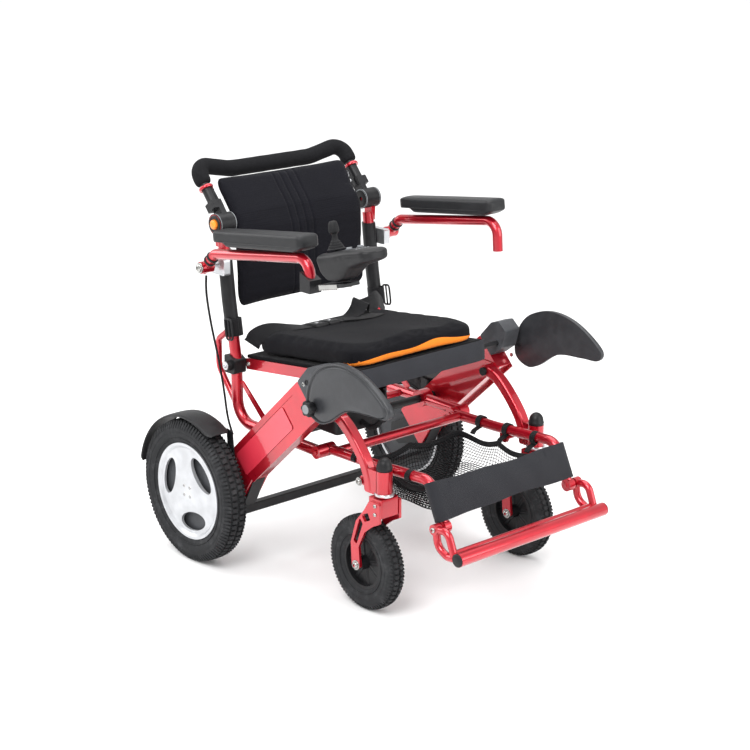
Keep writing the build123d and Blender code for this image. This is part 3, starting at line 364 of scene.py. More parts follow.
@dataclass(frozen=True)
class Weave:
    """Woven cloth from two crossed thread families on UV measured in metres.

    The height is the larger of two rows of rounded threads, each raised where it passes over:
    |sin(u)| where sin(u)*sin(v) is positive and |sin(v)| elsewhere.
    """

    name: str
    colour: Colour
    thread: float = 0.0012
    rib: float = 1.0
    depth: float = 0.0003
    sheen: float = 0.05
    roughness: float = 0.82
    # Contrast of the cloth colour: painted shade between the threads, plus random lint and wear variation.
    shade_and_fleck: float = 0.5
    specular: float = 0.07

    def build(self) -> bpy.types.Material:
        """Return the material."""
        s = Shader(self.name)
        u, v, _ = s.axes(s.uv())
        a = (u * (pi / self.thread)).sine()
        b = (v * (pi / (self.thread * self.rib))).sine()
        over = (a * b).ramp(-0.15, 0.15)
        threads = over * abs(a) + (1 - over) * abs(b)
        p = s.object_point()
        wear = s.noise(p, 22.0, 5.0, 0.6)
        lint = s.noise(p, 700.0, 2.0)
        # Painted shade: the colour follows the thread height, darker in the gaps between threads and lighter on
        # their crowns; lint and wear add random variation.
        thread_shade_and_wear = threads * 0.6 + lint * 0.25 + wear * 0.3
        colour = s.mix(thread_shade_and_wear.ramp(0.15, 1.0), darker(self.colour, 1.0 - self.shade_and_fleck),
                       tuple(c * (1.0 + self.shade_and_fleck) for c in self.colour))
        return s.close(Base_Color=colour, Roughness=self.roughness + (wear - 0.5) * 0.15,
                       Sheen_Weight=self.sheen,
                       Sheen_Roughness=0.4, Specular_IOR_Level=self.specular,
                       Normal=s.bump(threads + lint * 0.2, self.depth, 0.8))


@dataclass(frozen=True)
class Skin:
    """Self-skinned polyurethane with a shallow leather-like grain."""

    name: str
    colour: Colour

    def build(self) -> bpy.types.Material:
        """Return the material."""
        s = Shader(self.name)
        p = s.object_point()
        creases = s.node("ShaderNodeTexVoronoi", {"feature": "DISTANCE_TO_EDGE"},
                         {"Vector": p, "Scale": 420.0})
        wear = s.noise(p, 30.0, 5.0, 0.6)
        colour = s.mix(wear.ramp(0.3, 0.75), darker(self.colour, 0.85), tuple(c * 1.2 for c in self.colour))
        return s.close(Base_Color=colour, Roughness=0.42 + (wear - 0.5) * 0.2, Specular_IOR_Level=0.3,
                       Normal=s.bump(creases.ramp(0.0, 0.22) + s.noise(p, 1300.0) * 0.3, 0.00016, 0.6))


class Finish(Enum):
    """Every finish on the chair."""

    RED = Lacquer("red_lacquer", (0.60, 0.006, 0.024), (0.36, 0.003, 0.012))
    # Lighter, pinker copy of the red lacquer: a painted highlight standing for the clear coat's reflection on the
    # box arms' faces.
    RED_PAINTED_SHEEN = Lacquer("red_painted_sheen", (0.66, 0.030, 0.060), (0.56, 0.020, 0.042), 0.25, 0.42)
    BLACK_STEEL = Moulded("black_powder_coat", (0.008, 0.008, 0.009), 0.38, 2200.0, 0.00005, 0.28)
    BLACK_PLASTIC = Moulded("black_plastic", (0.007, 0.007, 0.008), 0.40)
    GREY_PLASTIC = Moulded("grey_plastic", (0.048, 0.050, 0.055), 0.46, 1100.0, 0.00010)
    PALE_PLASTIC = Moulded("pale_grey_plastic", (0.20, 0.21, 0.22), 0.46, 1100.0, 0.00009)
    SHELL_PLASTIC = Moulded("shell_plastic", (0.022, 0.023, 0.026), 0.33, 1900.0, 0.00005, 0.42)
    TYRE = TyreRubber("tyre_rubber", (0.022, 0.0225, 0.024), (0.085, 0.086, 0.090))
    SILVER = BareMetal("silver_alloy", (0.66, 0.67, 0.69), 0.30, 0.9)
    WHEEL_PAINT = BareMetal("wheel_silver_paint", (0.56, 0.57, 0.59), 0.34, 0.55)
    ZINC = BareMetal("zinc_plated", (0.46, 0.455, 0.44), 0.24)
    FOAM = Foam("grip_foam", (0.008, 0.008, 0.009))
    RUBBER = Moulded("soft_rubber", (0.006, 0.006, 0.007), 0.55, 1500.0, 0.00006, 0.22)
    ORANGE = Moulded("orange_plastic", (0.80, 0.24, 0.02), 0.28, 1800.0, 0.00003, 0.5)
    SKIN = Skin("pad_skin", (0.014, 0.0145, 0.016))
    SEAT_CLOTH = Weave("seat_cloth", (0.0055, 0.0055, 0.007), 0.0022, 1.0, 0.0005)
    BACK_CLOTH = Weave("back_cloth", (0.0065, 0.0065, 0.009), 0.0026, 1.4, 0.0006)
    EDGE_CLOTH = Weave("edge_cloth", (0.004, 0.004, 0.005), 0.0014, 1.0, 0.0003)
    ORANGE_CLOTH = Weave("orange_cloth", (0.86, 0.225, 0.016), 0.0014, 1.0, 0.0003, 0.1, 0.7, 0.2, 0.2)
    PANEL_CLOTH = Weave("panel_cloth", (0.030, 0.031, 0.036), 0.0011, 1.0, 0.0003, 0.1, 0.75, 0.4)
    WEBBING = Weave("belt_webbing", (0.006, 0.006, 0.007), 0.0016, 2.4, 0.0006, 0.08, 0.6, 0.6, 0.14)
    STRAP_WEBBING = Weave("strap_webbing", (0.020, 0.0205, 0.024), 0.0011, 1.8, 0.0004, 0.08, 0.7, 0.45, 0.1)
    NET = Weave("net_cord", (0.006, 0.006, 0.007), 0.0006, 1.0, 0.0001)
    THREAD = Weave("sewing_thread", (0.035, 0.035, 0.042), 0.0005, 1.0, 0.0001)


_made: dict[Finish, bpy.types.Material] = {}


def material(finish: Finish) -> bpy.types.Material:
    """The material of a finish, made once."""
    if finish not in _made:
        _made[finish] = finish.value.build()
    return _made[finish]


def dress(node: str, finish: Finish) -> None:
    """Give a frame node its finish."""
    data = frame["nodes"][node].data
    data.materials.clear()
    data.materials.append(material(finish))


# ---------------------------------------------------------------- studio
@dataclass
class Studio:
    """Floor, soft lights and the camera."""

    eye: tuple[float, float, float] = (2.789, -2.518, 1.554)
    azimuth: float = 41.6
    elevation: float = 16.9
    lens: float = 88.7
    floor_half: float = 14.0

    def floor(self) -> None:
        """A flat pale floor that curves up into a backdrop behind: height is the square of the distance
        past a line.
        """
        u = np.linspace(-1, 1, 60)
        x, y = np.meshgrid(u * self.floor_half, u * self.floor_half, indexing="ij")
        away = np.clip(-(x * cos(radians(self.azimuth)) - y * sin(radians(self.azimuth))) - 2.2, 0, None)
        piece = grid_piece("floor", np.stack([x, y, 0.12 * away**2], -1))
        s = Shader("pale_floor")
        piece.data.materials.append(s.close(Base_Color=(0.86, 0.86, 0.86),
                                            Roughness=0.5 + (s.noise(s.object_point(), 6.0) - 0.5) * 0.1,
                                            Specular_IOR_Level=0.25))

    def light(self, name: str, place: Sequence[float], size: float, watts: float,
              aim: Sequence[float] = (0, 0, 0.4)) -> None:
        """One square area light aimed at a point."""
        data = bpy.data.lights.new(name, "AREA")
        data.size = size
        data.energy = watts
        lamp = bpy.data.objects.new(name, data)
        lamp.location = place
        lamp.rotation_euler = (Vector(aim) - Vector(place)).to_track_quat("-Z", "Y").to_euler()
        bpy.context.scene.collection.objects.link(lamp)

    def build(self) -> None:
        """Make the floor, lights, world and camera."""
        self.floor()
        self.light("key", (1.2, -2.6, 3.2), 2.2, 120.0)
        self.light("fill", (3.4, 1.2, 1.8), 2.6, 70.0)
        self.light("top", (-0.4, 0.4, 3.6), 3.0, 90.0)
        self.light("rear", (-2.6, -1.6, 2.0), 2.0, 45.0)
        world = bpy.data.worlds.new("studio")
        world.use_nodes = True
        world.node_tree.nodes["Background"].inputs[0].default_value = (1.0, 1.0, 1.0, 1.0)
        world.node_tree.nodes["Background"].inputs[1].default_value = 0.85
        bpy.context.scene.world = world
        bpy.context.scene.view_settings.view_transform = "Standard"
        a, e = radians(self.azimuth), radians(self.elevation)
        back = Vector((cos(a) * cos(e), -sin(a) * cos(e), sin(e)))
        data = bpy.data.cameras.new("camera")
        data.lens = self.lens
        data.sensor_width = 36.0
        camera = bpy.data.objects.new("camera", data)
        camera.location = self.eye
        camera.rotation_euler = (-back).to_track_quat("-Z", "Y").to_euler()
        bpy.context.scene.collection.objects.link(camera)
        bpy.context.scene.camera = camera


# ---------------------------------------------------------------- mesh helpers
def grid_faces(rows: int, columns: int, wrap_u: bool, wrap_v: bool) -> np.ndarray:
    """Quads (i, j), (i+1, j), (i+1, j+1), (i, j+1) of a grid as an array of vertex numbers."""
    i, j = np.meshgrid(np.arange(rows if wrap_u else rows - 1),
                       np.arange(columns if wrap_v else columns - 1), indexing="ij")
    across = (i + 1) % rows
    along = (j + 1) % columns
    return np.stack([i * columns + j, across * columns + j, across * columns + along, i * columns + along],
                    -1).reshape(-1, 4)


def new_piece(name: str, points: np.ndarray, faces: list, uv: np.ndarray = None,
              sharp: float = None) -> bpy.types.Object:
    """A mesh object at the origin.

    Args:
        name: The piece's name.
        points: Vertex positions, (n, 3).
        faces: Lists of vertex numbers.
        uv: Optional coordinates of each vertex, (n, 2).
        sharp: Edges bent more than this angle, in degrees, stay sharp.

    Returns:
        The object.
    """
    data = bpy.data.meshes.new(name)
    data.from_pydata(points.reshape(-1, 3).tolist(), [], [list(f) for f in faces])
    if uv is not None:
        layer = data.uv_layers.new(name="UVMap")
        loops = np.zeros(len(data.loops), np.int32)
        data.loops.foreach_get("vertex_index", loops)
        layer.data.foreach_set("uv", uv.reshape(-1, 2)[loops].astype(np.float32).ravel())
    data.polygons.foreach_set("use_smooth", np.ones(len(data.polygons), bool))
    if sharp is not None:
        data.set_sharp_from_angle(angle=radians(sharp))
    data.update()
    made = bpy.data.objects.new(name, data)
    bpy.context.scene.collection.objects.link(made)
    return made


def grid_piece(name: str, points: np.ndarray, wrap_u: bool = False, wrap_v: bool = False,
               uv: np.ndarray = None,
               caps: bool = False, sharp: float = None) -> bpy.types.Object:
    """A mesh of quads over a grid of points, with optional flat caps on its first and last rows."""
    rows, columns = points.shape[:2]
    faces = grid_faces(rows, columns, wrap_u, wrap_v).tolist()
    if caps:
        faces.append(list(range(columns - 1, -1, -1)))
        faces.append(list(range((rows - 1) * columns, rows * columns)))
    made = new_piece(name, points, faces, uv, sharp)
    if caps or (wrap_u and wrap_v):
        face_outwards(made)
    return made


def face_outwards(piece: bpy.types.Object, merge: float = 1e-6) -> bpy.types.Object:
    """Merge doubles, then turn every face outwards."""
    work = bmesh.new()
    work.from_mesh(piece.data)
    bmesh.ops.remove_doubles(work, verts=work.verts, dist=merge)
    bmesh.ops.recalc_face_normals(work, faces=work.faces)
    work.to_mesh(piece.data)
    work.free()
    piece.data.update()
    return piece


def unit(v: np.ndarray) -> np.ndarray:
    """Vectors scaled to length one."""
    return v / np.maximum(np.linalg.norm(v, axis=-1, keepdims=True), 1e-12)


def rounded_path(points: Sequence, radii: Sequence[float], step: float = 0.004) -> np.ndarray:
    """Points along straight runs joined by tangent arcs; an arc of radius r starts r*tan(turn/2) before
    its corner.
    """
    points = np.asarray(points, float)
    parts = [points[:1]]
    for before, corner, after, radius in zip(points, points[1:], points[2:], radii):
        a, b = unit(before - corner), unit(after - corner)
        half = np.arccos(np.clip(a @ b, -1, 1)) / 2
        centre = corner + unit(a + b) * radius / sin(half)
        first, last = corner + a * radius / np.tan(half), corner + b * radius / np.tan(half)
        count = max(4, int(radius * (pi - 2 * half) / step))
        t = np.linspace(0, 1, count)[:, None]
        blend = first + (last - first) * t
        parts.append(centre + unit(blend - centre) * radius)
    parts.append(points[-1:])
    rough = np.concatenate(parts)
    return resampled(rough, step)


def resampled(points: np.ndarray, step: float) -> np.ndarray:
    """Evenly spaced points along a polyline."""
    lengths = np.concatenate([[0], np.cumsum(np.linalg.norm(np.diff(points, axis=0), axis=1))])
    keep = np.concatenate([[True], np.diff(lengths) > 1e-9])
    marks = np.linspace(0, lengths[-1], max(3, int(lengths[-1] / step) + 1))
    return np.stack([np.interp(marks, lengths[keep], points[keep, k]) for k in range(3)], -1)


def smooth_curve(points: Sequence, samples: int = 80, closed: bool = False) -> np.ndarray:
    """Catmull-Rom curve through points: each span is the cubic with slopes of half the neighbours'
    difference.
    """
    points = np.asarray(points, float)
    if closed:
        ring = np.concatenate([points[-1:], points, points[:2]])
        spans = len(points)
    else:
        ring = np.concatenate([2 * points[:1] - points[1:2], points, 2 * points[-1:] - points[-2:-1]])
        spans = len(points) - 1
    t = np.linspace(0, spans, samples, endpoint=not closed)
    i = np.minimum(t.astype(int), spans - 1)
    f = (t - i)[:, None]
    p0, p1, p2, p3 = ring[i], ring[i + 1], ring[i + 2], ring[i + 3]
    return 0.5 * (2 * p1 + (p2 - p0) * f + (2 * p0 - 5 * p1 + 4 * p2 - p3) * f**2
                  + (3 * p1 - p0 - 3 * p2 + p3) * f**3)


def ring_profile(radius: float, sides: int = 24) -> np.ndarray:
    """Points of a circle."""
    a = np.linspace(0, tau, sides, endpoint=False)
    return np.stack([np.cos(a), np.sin(a)], -1) * radius


def rounded_box_profile(half_width: float, half_height: float, power: float = 6.0,
                        sides: int = 32) -> np.ndarray:
    """Superellipse |x/w|^n + |y/h|^n = 1, a rectangle whose corners round off as n falls."""
    a = np.linspace(0, tau, sides, endpoint=False) + pi / sides
    c, s = np.cos(a), np.sin(a)
    size = (np.abs(c) ** power + np.abs(s) ** power) ** (-1.0 / power)
    return np.stack([c * size * half_width, s * size * half_height], -1)


def swept(name: str, path: np.ndarray, profile: np.ndarray, up: Sequence[float] = (0, 1, 0),
          scale: np.ndarray = None,
          closed: bool = False, sharp: float = None) -> bpy.types.Object:
    """A profile carried along a path.

    At each point the profile's first axis is up x tangent and its second is the part of up square to the
    tangent. scale multiplies the profile at each point. UVs run in metres along and round the surface.

    Returns:
        The closed piece.
    """
    tangent = unit(np.gradient(path, axis=0))
    if closed:
        tangent = unit(np.roll(path, -1, 0) - np.roll(path, 1, 0))
    second = unit(np.asarray(up, float) - (tangent @ np.asarray(up, float))[:, None] * tangent)
    first = np.cross(second, tangent)
    size = np.ones(len(path)) if scale is None else scale
    local = profile[None] * size[:, None, None]
    points = path[:, None] + first[:, None] * local[..., :1] + second[:, None] * local[..., 1:]
    along = np.concatenate([[0], np.cumsum(np.linalg.norm(np.diff(path, axis=0), axis=1))])
    around = np.concatenate([[0], np.cumsum(np.linalg.norm(np.diff(profile, axis=0), axis=1))])
    uv = np.stack(np.broadcast_arrays(along[:, None], around[None]), -1)
    made = grid_piece(name, points, wrap_u=closed, wrap_v=True, uv=uv, caps=not closed, sharp=sharp)
    return made


def rounded_ends(count: int, share: int = 4, least: float = 0.72) -> np.ndarray:
    """Scale along a path that rises from least to 1 over the first points, as a quarter circle, and falls
    at the end.
    """
    t = np.linspace(0, 1, share)
    rise = least + (1 - least) * np.sqrt(1 - (1 - t) ** 2)
    scale = np.ones(count)
    scale[:share] = rise
    scale[-share:] = rise[::-1]
    return scale


def lathe(name: str, profile: Sequence[tuple[float, float]], centre: Sequence[float],
          axis: Sequence[float] = (0, 1, 0),
          segments: int = 48, wave: Callable[[np.ndarray], np.ndarray] = None,
          sharp: float = 35.0) -> bpy.types.Object:
    """Surface of revolution of (height, radius) points about an axis through a centre.

    wave gives a factor on the radius for each turn angle, for lobed knobs.
    """
    axis = unit(np.asarray(axis, float))
    helper = np.array([0.0, 0.0, 1.0]) if abs(axis[2]) < 0.9 else np.array([1.0, 0.0, 0.0])
    x = unit(np.cross(helper, axis))
    y = np.cross(axis, x)
    angle = np.linspace(0, tau, segments, endpoint=False)
    lobes = np.ones(segments) if wave is None else wave(angle)
    heights, rings = np.asarray(profile, float).T
    spread = rings[:, None, None] * lobes[None, :,
                                          None] * (np.cos(angle)[None, :, None] * x
                                                   + np.sin(angle)[None, :, None] * y)
    points = np.asarray(centre, float) + heights[:, None, None] * axis + spread
    made = grid_piece(name, points, wrap_v=True)
    face_outwards(made, 1e-7)
    made.data.polygons.foreach_set("use_smooth", np.ones(len(made.data.polygons), bool))
    made.data.set_sharp_from_angle(angle=radians(sharp))
    return made


def prism(name: str, outline: Sequence, y_from: float, y_to: float, bevel: float = 0.0015,
          segments: int = 3) -> bpy.types.Object:
    """An outline in the side plane carried from one y to another, with bevelled edges."""
    outline = np.asarray(outline, float)
    n = len(outline)
    ring = lambda y: np.stack([outline[:, 0], np.full(n, y), outline[:, 1]], -1)
    points = np.concatenate([ring(y_from), ring(y_to)])
    faces = [list(range(n)), list(range(2 * n - 1, n - 1, -1))]
    faces += [[(i + 1) % n, i, n + i, n + (i + 1) % n] for i in range(n)]
    made = face_outwards(new_piece(name, points, faces))
    if bevel:
        soften(made, bevel, segments)
    return made


def soften(piece: bpy.types.Object, width: float, segments: int = 3, angle: float = 30.0) -> bpy.types.Object:
    """Round a piece's edges with a bevel that keeps flat faces flat."""
    bevel = piece.modifiers.new("edges", "BEVEL")
    bevel.width, bevel.segments, bevel.limit_method = width, segments, "ANGLE"
    bevel.angle_limit = radians(angle)
    bevel.harden_normals = True
    return piece


def applied(piece: bpy.types.Object) -> bpy.types.Object:
    """Replace a piece's mesh by the one its modifiers give."""
    bpy.context.view_layer.update()
    graph = bpy.context.evaluated_depsgraph_get()
    data = bpy.data.meshes.new_from_object(piece.evaluated_get(graph))
    piece.modifiers.clear()
    piece.data = data
    return piece


def merged(name: str, pieces: Sequence[bpy.types.Object]) -> bpy.types.Object:
    """One object from several that share a finish."""
    work = bmesh.new()
    for piece in pieces:
        applied(piece)
        work.from_mesh(piece.data)
        bpy.data.objects.remove(piece)
    data = bpy.data.meshes.new(name)
    work.to_mesh(data)
    work.free()
    made = bpy.data.objects.new(name, data)
    bpy.context.scene.collection.objects.link(made)
    return made


def carved(piece: bpy.types.Object, cutters: Sequence[bpy.types.Object]) -> bpy.types.Object:
    """Cut closed pieces out of a piece, and remove them.

    Args:
        piece: The piece to cut.
        cutters: Closed meshes.

    Returns:
        The same piece with its final mesh.
    """
    for cutter in cutters:
        cut = piece.modifiers.new("cut", "BOOLEAN")
        cut.operation, cut.solver, cut.object = "DIFFERENCE", "EXACT", cutter
        applied(piece)
        bpy.data.objects.remove(cutter)
    piece.data.set_sharp_from_angle(angle=radians(40))
    return piece


def place(piece: bpy.types.Object, finish: Finish, body: str, slot: str,
          *stands_for: str) -> bpy.types.Object:
    """Dress a new piece and fix it to its body.

    Args:
        piece: The finished mesh.
        finish: Its finish.
        body: The frame body it rides on.
        slot: The record's material slot; not used.
        stands_for: Frame nodes it replaces.

    Returns:
        The piece.
    """
    piece.data.materials.clear()
    piece.data.materials.append(material(finish))
    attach(piece, body)
    if stands_for:
        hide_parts(*stands_for)
    log.info("%s on %s", piece.name, body)
    return piece


MM = 0.001
JOINT = {row["name"]: np.array(row["pos_m"]) for row in frame["joints"] if "pos_m" in row}


def turned(x: float, z: float, degrees_up: float) -> Callable[[float, float], np.ndarray]:
    """A function that gives side-plane points in directions turned up by an angle about (x, z), taking
    millimetres.
    """
    c, s = cos(radians(degrees_up)), sin(radians(degrees_up))
    return lambda along, up: np.array([x + (along * c - up * s) * MM, z + (along * s + up * c) * MM])


# ---------------------------------------------------------------- wheels
@dataclass
class TreadRow:
    """One ring of tread blocks: its section across the tyre as (y, radius) points, count and length."""

    section: tuple[tuple[float, float], ...]
    count: int
    length: float
    shift: float = 0.0

    def mesh(self, centre: np.ndarray, side: float) -> tuple[np.ndarray, np.ndarray]:
        """Blocks as prisms: the section stands at angle - half and angle + half of each block.

        Returns:
            Points (n, 3) and quads (m, 4), the end faces fanned into quads.
        """
        section = np.array(self.section)
        k = len(section)
        turn = tau * (np.arange(self.count) + self.shift) / self.count
        half = self.length / 2 / section[:, 1].max()
        angle = turn[:, None] + np.array([-half, half])[None]
        radius, y = section[:, 1], section[:, 0] * side
        x = centre[0] + np.cos(angle)[..., None] * radius
        z = centre[2] + np.sin(angle)[..., None] * radius
        points = np.stack([x, np.broadcast_to(centre[1] + y, x.shape), z], -1).reshape(-1, 3)
        ring = [[j, (j + 1) % k, k + (j + 1) % k, k + j] for j in range(k)]
        caps = [[0, 1, 2, 3], [k + 3, k + 2, k + 1, k]]
        faces = np.array(ring + caps)[None] + (np.arange(self.count) * 2 * k)[:, None, None]
        return points, faces.reshape(-1, 4)


@dataclass
class Tyre:
    """A solid block-tread tyre."""

    name: str
    body: str
    node: str
    centre: np.ndarray
    radius: float
    half_width: float
    rim: float
    blocks: int
    lug: float = 1.0

    def carcass(self) -> bpy.types.Object:
        """Revolve the casing: bead, a sidewall that bulges as a half sine, shoulder and a shallow crown."""
        t = np.linspace(0, 1, 15)
        wall_r = self.rim + (self.radius - 0.016 - self.rim) * t
        wall_y = self.half_width * (0.66 + 0.30 * np.sin(t * pi * 0.62))
        shoulder = np.array([[0.90, 0.013], [0.80, 0.0095], [0.64, 0.0068], [0.35, 0.0056], [0.0, 0.0052]])
        y = np.concatenate([wall_y, shoulder[:, 0] * self.half_width])
        r = np.concatenate([wall_r, self.radius - shoulder[:, 1]])
        profile = np.concatenate([np.stack([-y, r], -1), np.stack([y, r], -1)[::-1][1:]])
        inner = np.array([[profile[-1][0] - 0.004, self.rim - 0.003],
                          [profile[0][0] + 0.004, self.rim - 0.003]])
        profile = np.concatenate([profile, inner, profile[:1]])
        return lathe(self.name, profile, self.centre, segments=96, sharp=50)

    def tread(self) -> bpy.types.Object:
        """Rings of shoulder blocks and staggered crown blocks, all closed prisms."""
        w, r = self.half_width, self.radius
        g = self.lug
        shoulder = ((w * 0.62, r - 0.0085), (w * (0.93 + 0.04 * g), r - 0.018),
                    (w * (0.94 + 0.06 * g), r - 0.0155),
                    (w * 0.72, r - 0.0048 + 0.0033 * g))
        crown = ((w * 0.10, r - 0.0065), (w * 0.52, r - 0.0070), (w * 0.50, r - 0.0010), (w * 0.12, r))
        pitch = tau * r / self.blocks
        rows = [(TreadRow(shoulder, self.blocks, pitch * 0.56), 1),
                (TreadRow(shoulder, self.blocks, pitch * 0.56, 0.5), -1),
                (TreadRow(crown, self.blocks * 2 // 3, pitch * 0.98, 0.25), 1),
                (TreadRow(crown, self.blocks * 2 // 3, pitch * 0.98, 0.75), -1)]
        points, faces, count = [], [], 0
        for row, side in rows:
            p, f = row.mesh(self.centre, side)
            points.append(p)
            faces.append(f + count)
            count += len(p)
        made = face_outwards(new_piece(f"{self.name}_tread", np.concatenate(points),
                                       np.concatenate(faces).tolist()), 1e-9)
        made.data.set_sharp_from_angle(angle=radians(30))
        return soften(made, 0.0005, 2)

    def bead_lines(self) -> bpy.types.Object:
        """Two thin raised mould rings on each sidewall."""
        rings = []
        for side in (-1, 1):
            for share, bulge in ((0.30, 0.885), (0.72, 0.955)):
                r = self.rim + (self.radius - 0.016 - self.rim) * share
                y = side * self.half_width * bulge
                hoop = [(y - side * 0.0012, r - 0.0012), (y + side * 0.0006, r - 0.0006),
                        (y + side * 0.0006, r + 0.0006),
                        (y - side * 0.0012, r + 0.0012), (y - side * 0.0012, r - 0.0012)]
                rings.append(lathe("hoop", hoop, self.centre, segments=96))
        return merged(f"{self.name}_mould_lines", rings)

    def build(self) -> None:
        """Make and place the tyre."""
        place(self.carcass(), Finish.TYRE, self.body, "tyre", self.node)
        place(self.tread(), Finish.TYRE, self.body, "tyre")
        place(self.bead_lines(), Finish.TYRE, self.body, "tyre")


def bolt(centre: Sequence[float], axis: Sequence[float], radius: float = 0.005,
         height: float = 0.004) -> bpy.types.Object:
    """A button-head screw with a hexagon socket: a domed disc whose inner rings drop as a six-sided
    pocket.
    """
    socket = radius * 0.46
    profile = [(0.0, 0.0), (-0.0005, radius * 0.98), (height * 0.25, radius), (height * 0.62, radius * 0.93),
               (height * 0.9, radius * 0.7), (height, radius * 0.5), (height * 0.98, socket),
               (height * 0.4, socket), (height * 0.4, 0.0)]
    return lathe("bolt", profile, centre, axis, 24)


def washer(centre: Sequence[float], axis: Sequence[float], radius: float,
           height: float = 0.0015) -> bpy.types.Object:
    """A flat ring with broken edges."""
    profile = [(0, 0.0), (0, radius * 0.97), (height * 0.3, radius), (height * 0.7, radius),
               (height, radius * 0.97), (height, 0.0)]
    return lathe("washer", profile, centre, axis, 32)


@dataclass
class Wheels:
    """Drive wheels, casters, their hubs and hardware."""

    hub_bolt_circle: float = 0.0145

    def drive(self, name: str, side: float) -> None:
        """One drive wheel: tyre, rim and motor finishes, and the hub screws."""
        centre = JOINT[f"drive_wheel_{name}_spin"]
        low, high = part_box(f"rear_tyre_{name}")
        body = f"drive_wheel_{name}"
        Tyre(f"drive_tyre_{name}", body, f"rear_tyre_{name}", centre, (high.z - low.z) / 2,
             (high.y - low.y) / 2,
             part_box(f"rear_rim_{name}")[1].z - centre[2], 108).build()
        dress(f"rear_rim_{name}", Finish.WHEEL_PAINT)
        dress(f"hub_motor_{name}", Finish.GREY_PLASTIC)
        rim_low, rim_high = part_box(f"rear_rim_{name}")
        face_y = rim_high.y if side > 0 else rim_low.y
        screws = []
        for quarter in range(4):
            a = pi / 4 + quarter * pi / 2
            at = (centre[0] + self.hub_bolt_circle * cos(a), face_y - side * 0.0022,
                  centre[2] + self.hub_bolt_circle * sin(a))
            screws.append(bolt(at, (0, side, 0), 0.0042, 0.0034))
        place(merged(f"hub_screws_{name}", screws), Finish.ZINC, body, "silver_alloy")

    def caster(self, name: str, side: float) -> None:
        """One caster: tyre, axle bolts and dust caps, stem dome and ring, fork screws."""
        centre = JOINT[f"caster_{name}_roll"]
        low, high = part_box(f"caster_tyre_{name}")
        body = f"caster_{name}"
        Tyre(f"caster_block_tyre_{name}", body, f"caster_tyre_{name}", centre, (high.z - low.z) / 2,
             (high.y - low.y) / 2,
             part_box(f"caster_rim_{name}")[1].z - centre[2], 76, 0.2).build()
        fork_low, fork_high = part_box(f"caster_fork_{name}")
        ends = []
        for face, y in ((-1, fork_low.y), (1, fork_high.y)):
            ends.append(washer((centre[0], y - face * 0.0042, centre[2]), (0, face, 0), 0.0105))
            ends.append(bolt((centre[0], y - face * 0.0028, centre[2]), (0, face, 0), 0.0075, 0.0052))
        stem = JOINT[f"caster_{name}_swivel"]
        plates = centre[1] + side * (fork_high.y - fork_low.y - 0.008) / 2
        for dz in (-0.012, -0.030):
            ends.append(bolt((stem[0] + 0.006, plates, 0.255 + dz), (0, side, 0), 0.0042, 0.003))
            ends.append(bolt((stem[0] + 0.006, 2 * centre[1] - plates, 0.255 + dz), (0, -side, 0), 0.0042,
                             0.003))
        place(merged(f"fork_bolts_{name}", ends), Finish.ZINC, f"fork_{name}", "silver_alloy")
        top = 0.310
        dome = [(0.0, 0.0), (0.0, 0.0158), (0.004, 0.0168), (0.006, 0.0168), (0.0075, 0.0158),
                (0.014, 0.0150), (0.020, 0.0125),
                (0.0245, 0.0080), (0.0265, 0.0035), (0.0268, 0.0)]
        place(lathe(f"caster_dome_{name}", dome, (stem[0], stem[1], top), (0, 0, 1), 40),
              Finish.BLACK_PLASTIC, f"leg_{name}", "black_plastic")
        collar = [(0.0, 0.0165), (0.0, 0.0195), (0.0015, 0.0205), (0.0045, 0.0205), (0.006, 0.0195),
                  (0.006, 0.0165), (0.0, 0.0165)]
        place(lathe(f"caster_collar_{name}", collar, (stem[0], stem[1], 0.2575), (0, 0, 1), 40),
              Finish.SILVER, f"leg_{name}", "silver_alloy")

    def build(self) -> None:
        """Build both sides."""
        for name, side in SIDES:
            self.drive(name, side)
            self.caster(name, side)


# ---------------------------------------------------------------- padded seat and back
@dataclass
class Cushion:
    """A padded block swelled by cloth simulation."""

    voxel: float = 0.005
    pressure: float = 4.0
    cap: float = 0.022
    frames: int = 20

    def swell(self, piece: bpy.types.Object) -> bpy.types.Object:
        """Remesh, inflate without gravity, limit how far each point moved, and smooth once.

        Args:
            piece: A closed mesh a little smaller than the finished pad.

        Returns:
            The same object with its final mesh.
        """
        remesh = piece.modifiers.new("even", "REMESH")
        remesh.mode, remesh.voxel_size = "VOXEL", self.voxel
        applied(piece)
        start = vertex_array(piece)
        cloth = piece.modifiers.new("swell", "CLOTH")
        cloth.settings.quality = 6
        cloth.settings.mass = 0.35
        cloth.settings.tension_stiffness = cloth.settings.compression_stiffness = 18.0
        cloth.settings.bending_stiffness = 1.2
        cloth.settings.use_pressure = True
        cloth.settings.uniform_pressure_force = self.pressure
        cloth.settings.effector_weights.gravity = 0.0
        cloth.collision_settings.use_collision = False
        cloth.point_cache.frame_start, cloth.point_cache.frame_end = 1, self.frames
        scene = bpy.context.scene
        for number in range(1, self.frames + 1):
            scene.frame_set(number)
        graph = bpy.context.evaluated_depsgraph_get()
        moved = vertex_array(piece.evaluated_get(graph))
        piece.modifiers.clear()
        scene.frame_set(1)
        shift = moved - start
        length = np.linalg.norm(shift, axis=1, keepdims=True)
        shift *= np.minimum(1.0, self.cap / np.maximum(length, 1e-9))
        set_vertices(piece, start + shift)
        return self.smooth(piece)

    def smooth(self, piece: bpy.types.Object) -> bpy.types.Object:
        """Relax the voxel steps and subdivide once."""
        relax = piece.modifiers.new("relax", "SMOOTH")
        relax.factor, relax.iterations = 0.5, 6
        finer = piece.modifiers.new("finer", "SUBSURF")
        finer.levels = finer.render_levels = 1
        applied(piece)
        piece.data.polygons.foreach_set("use_smooth", np.ones(len(piece.data.polygons), bool))
        return piece


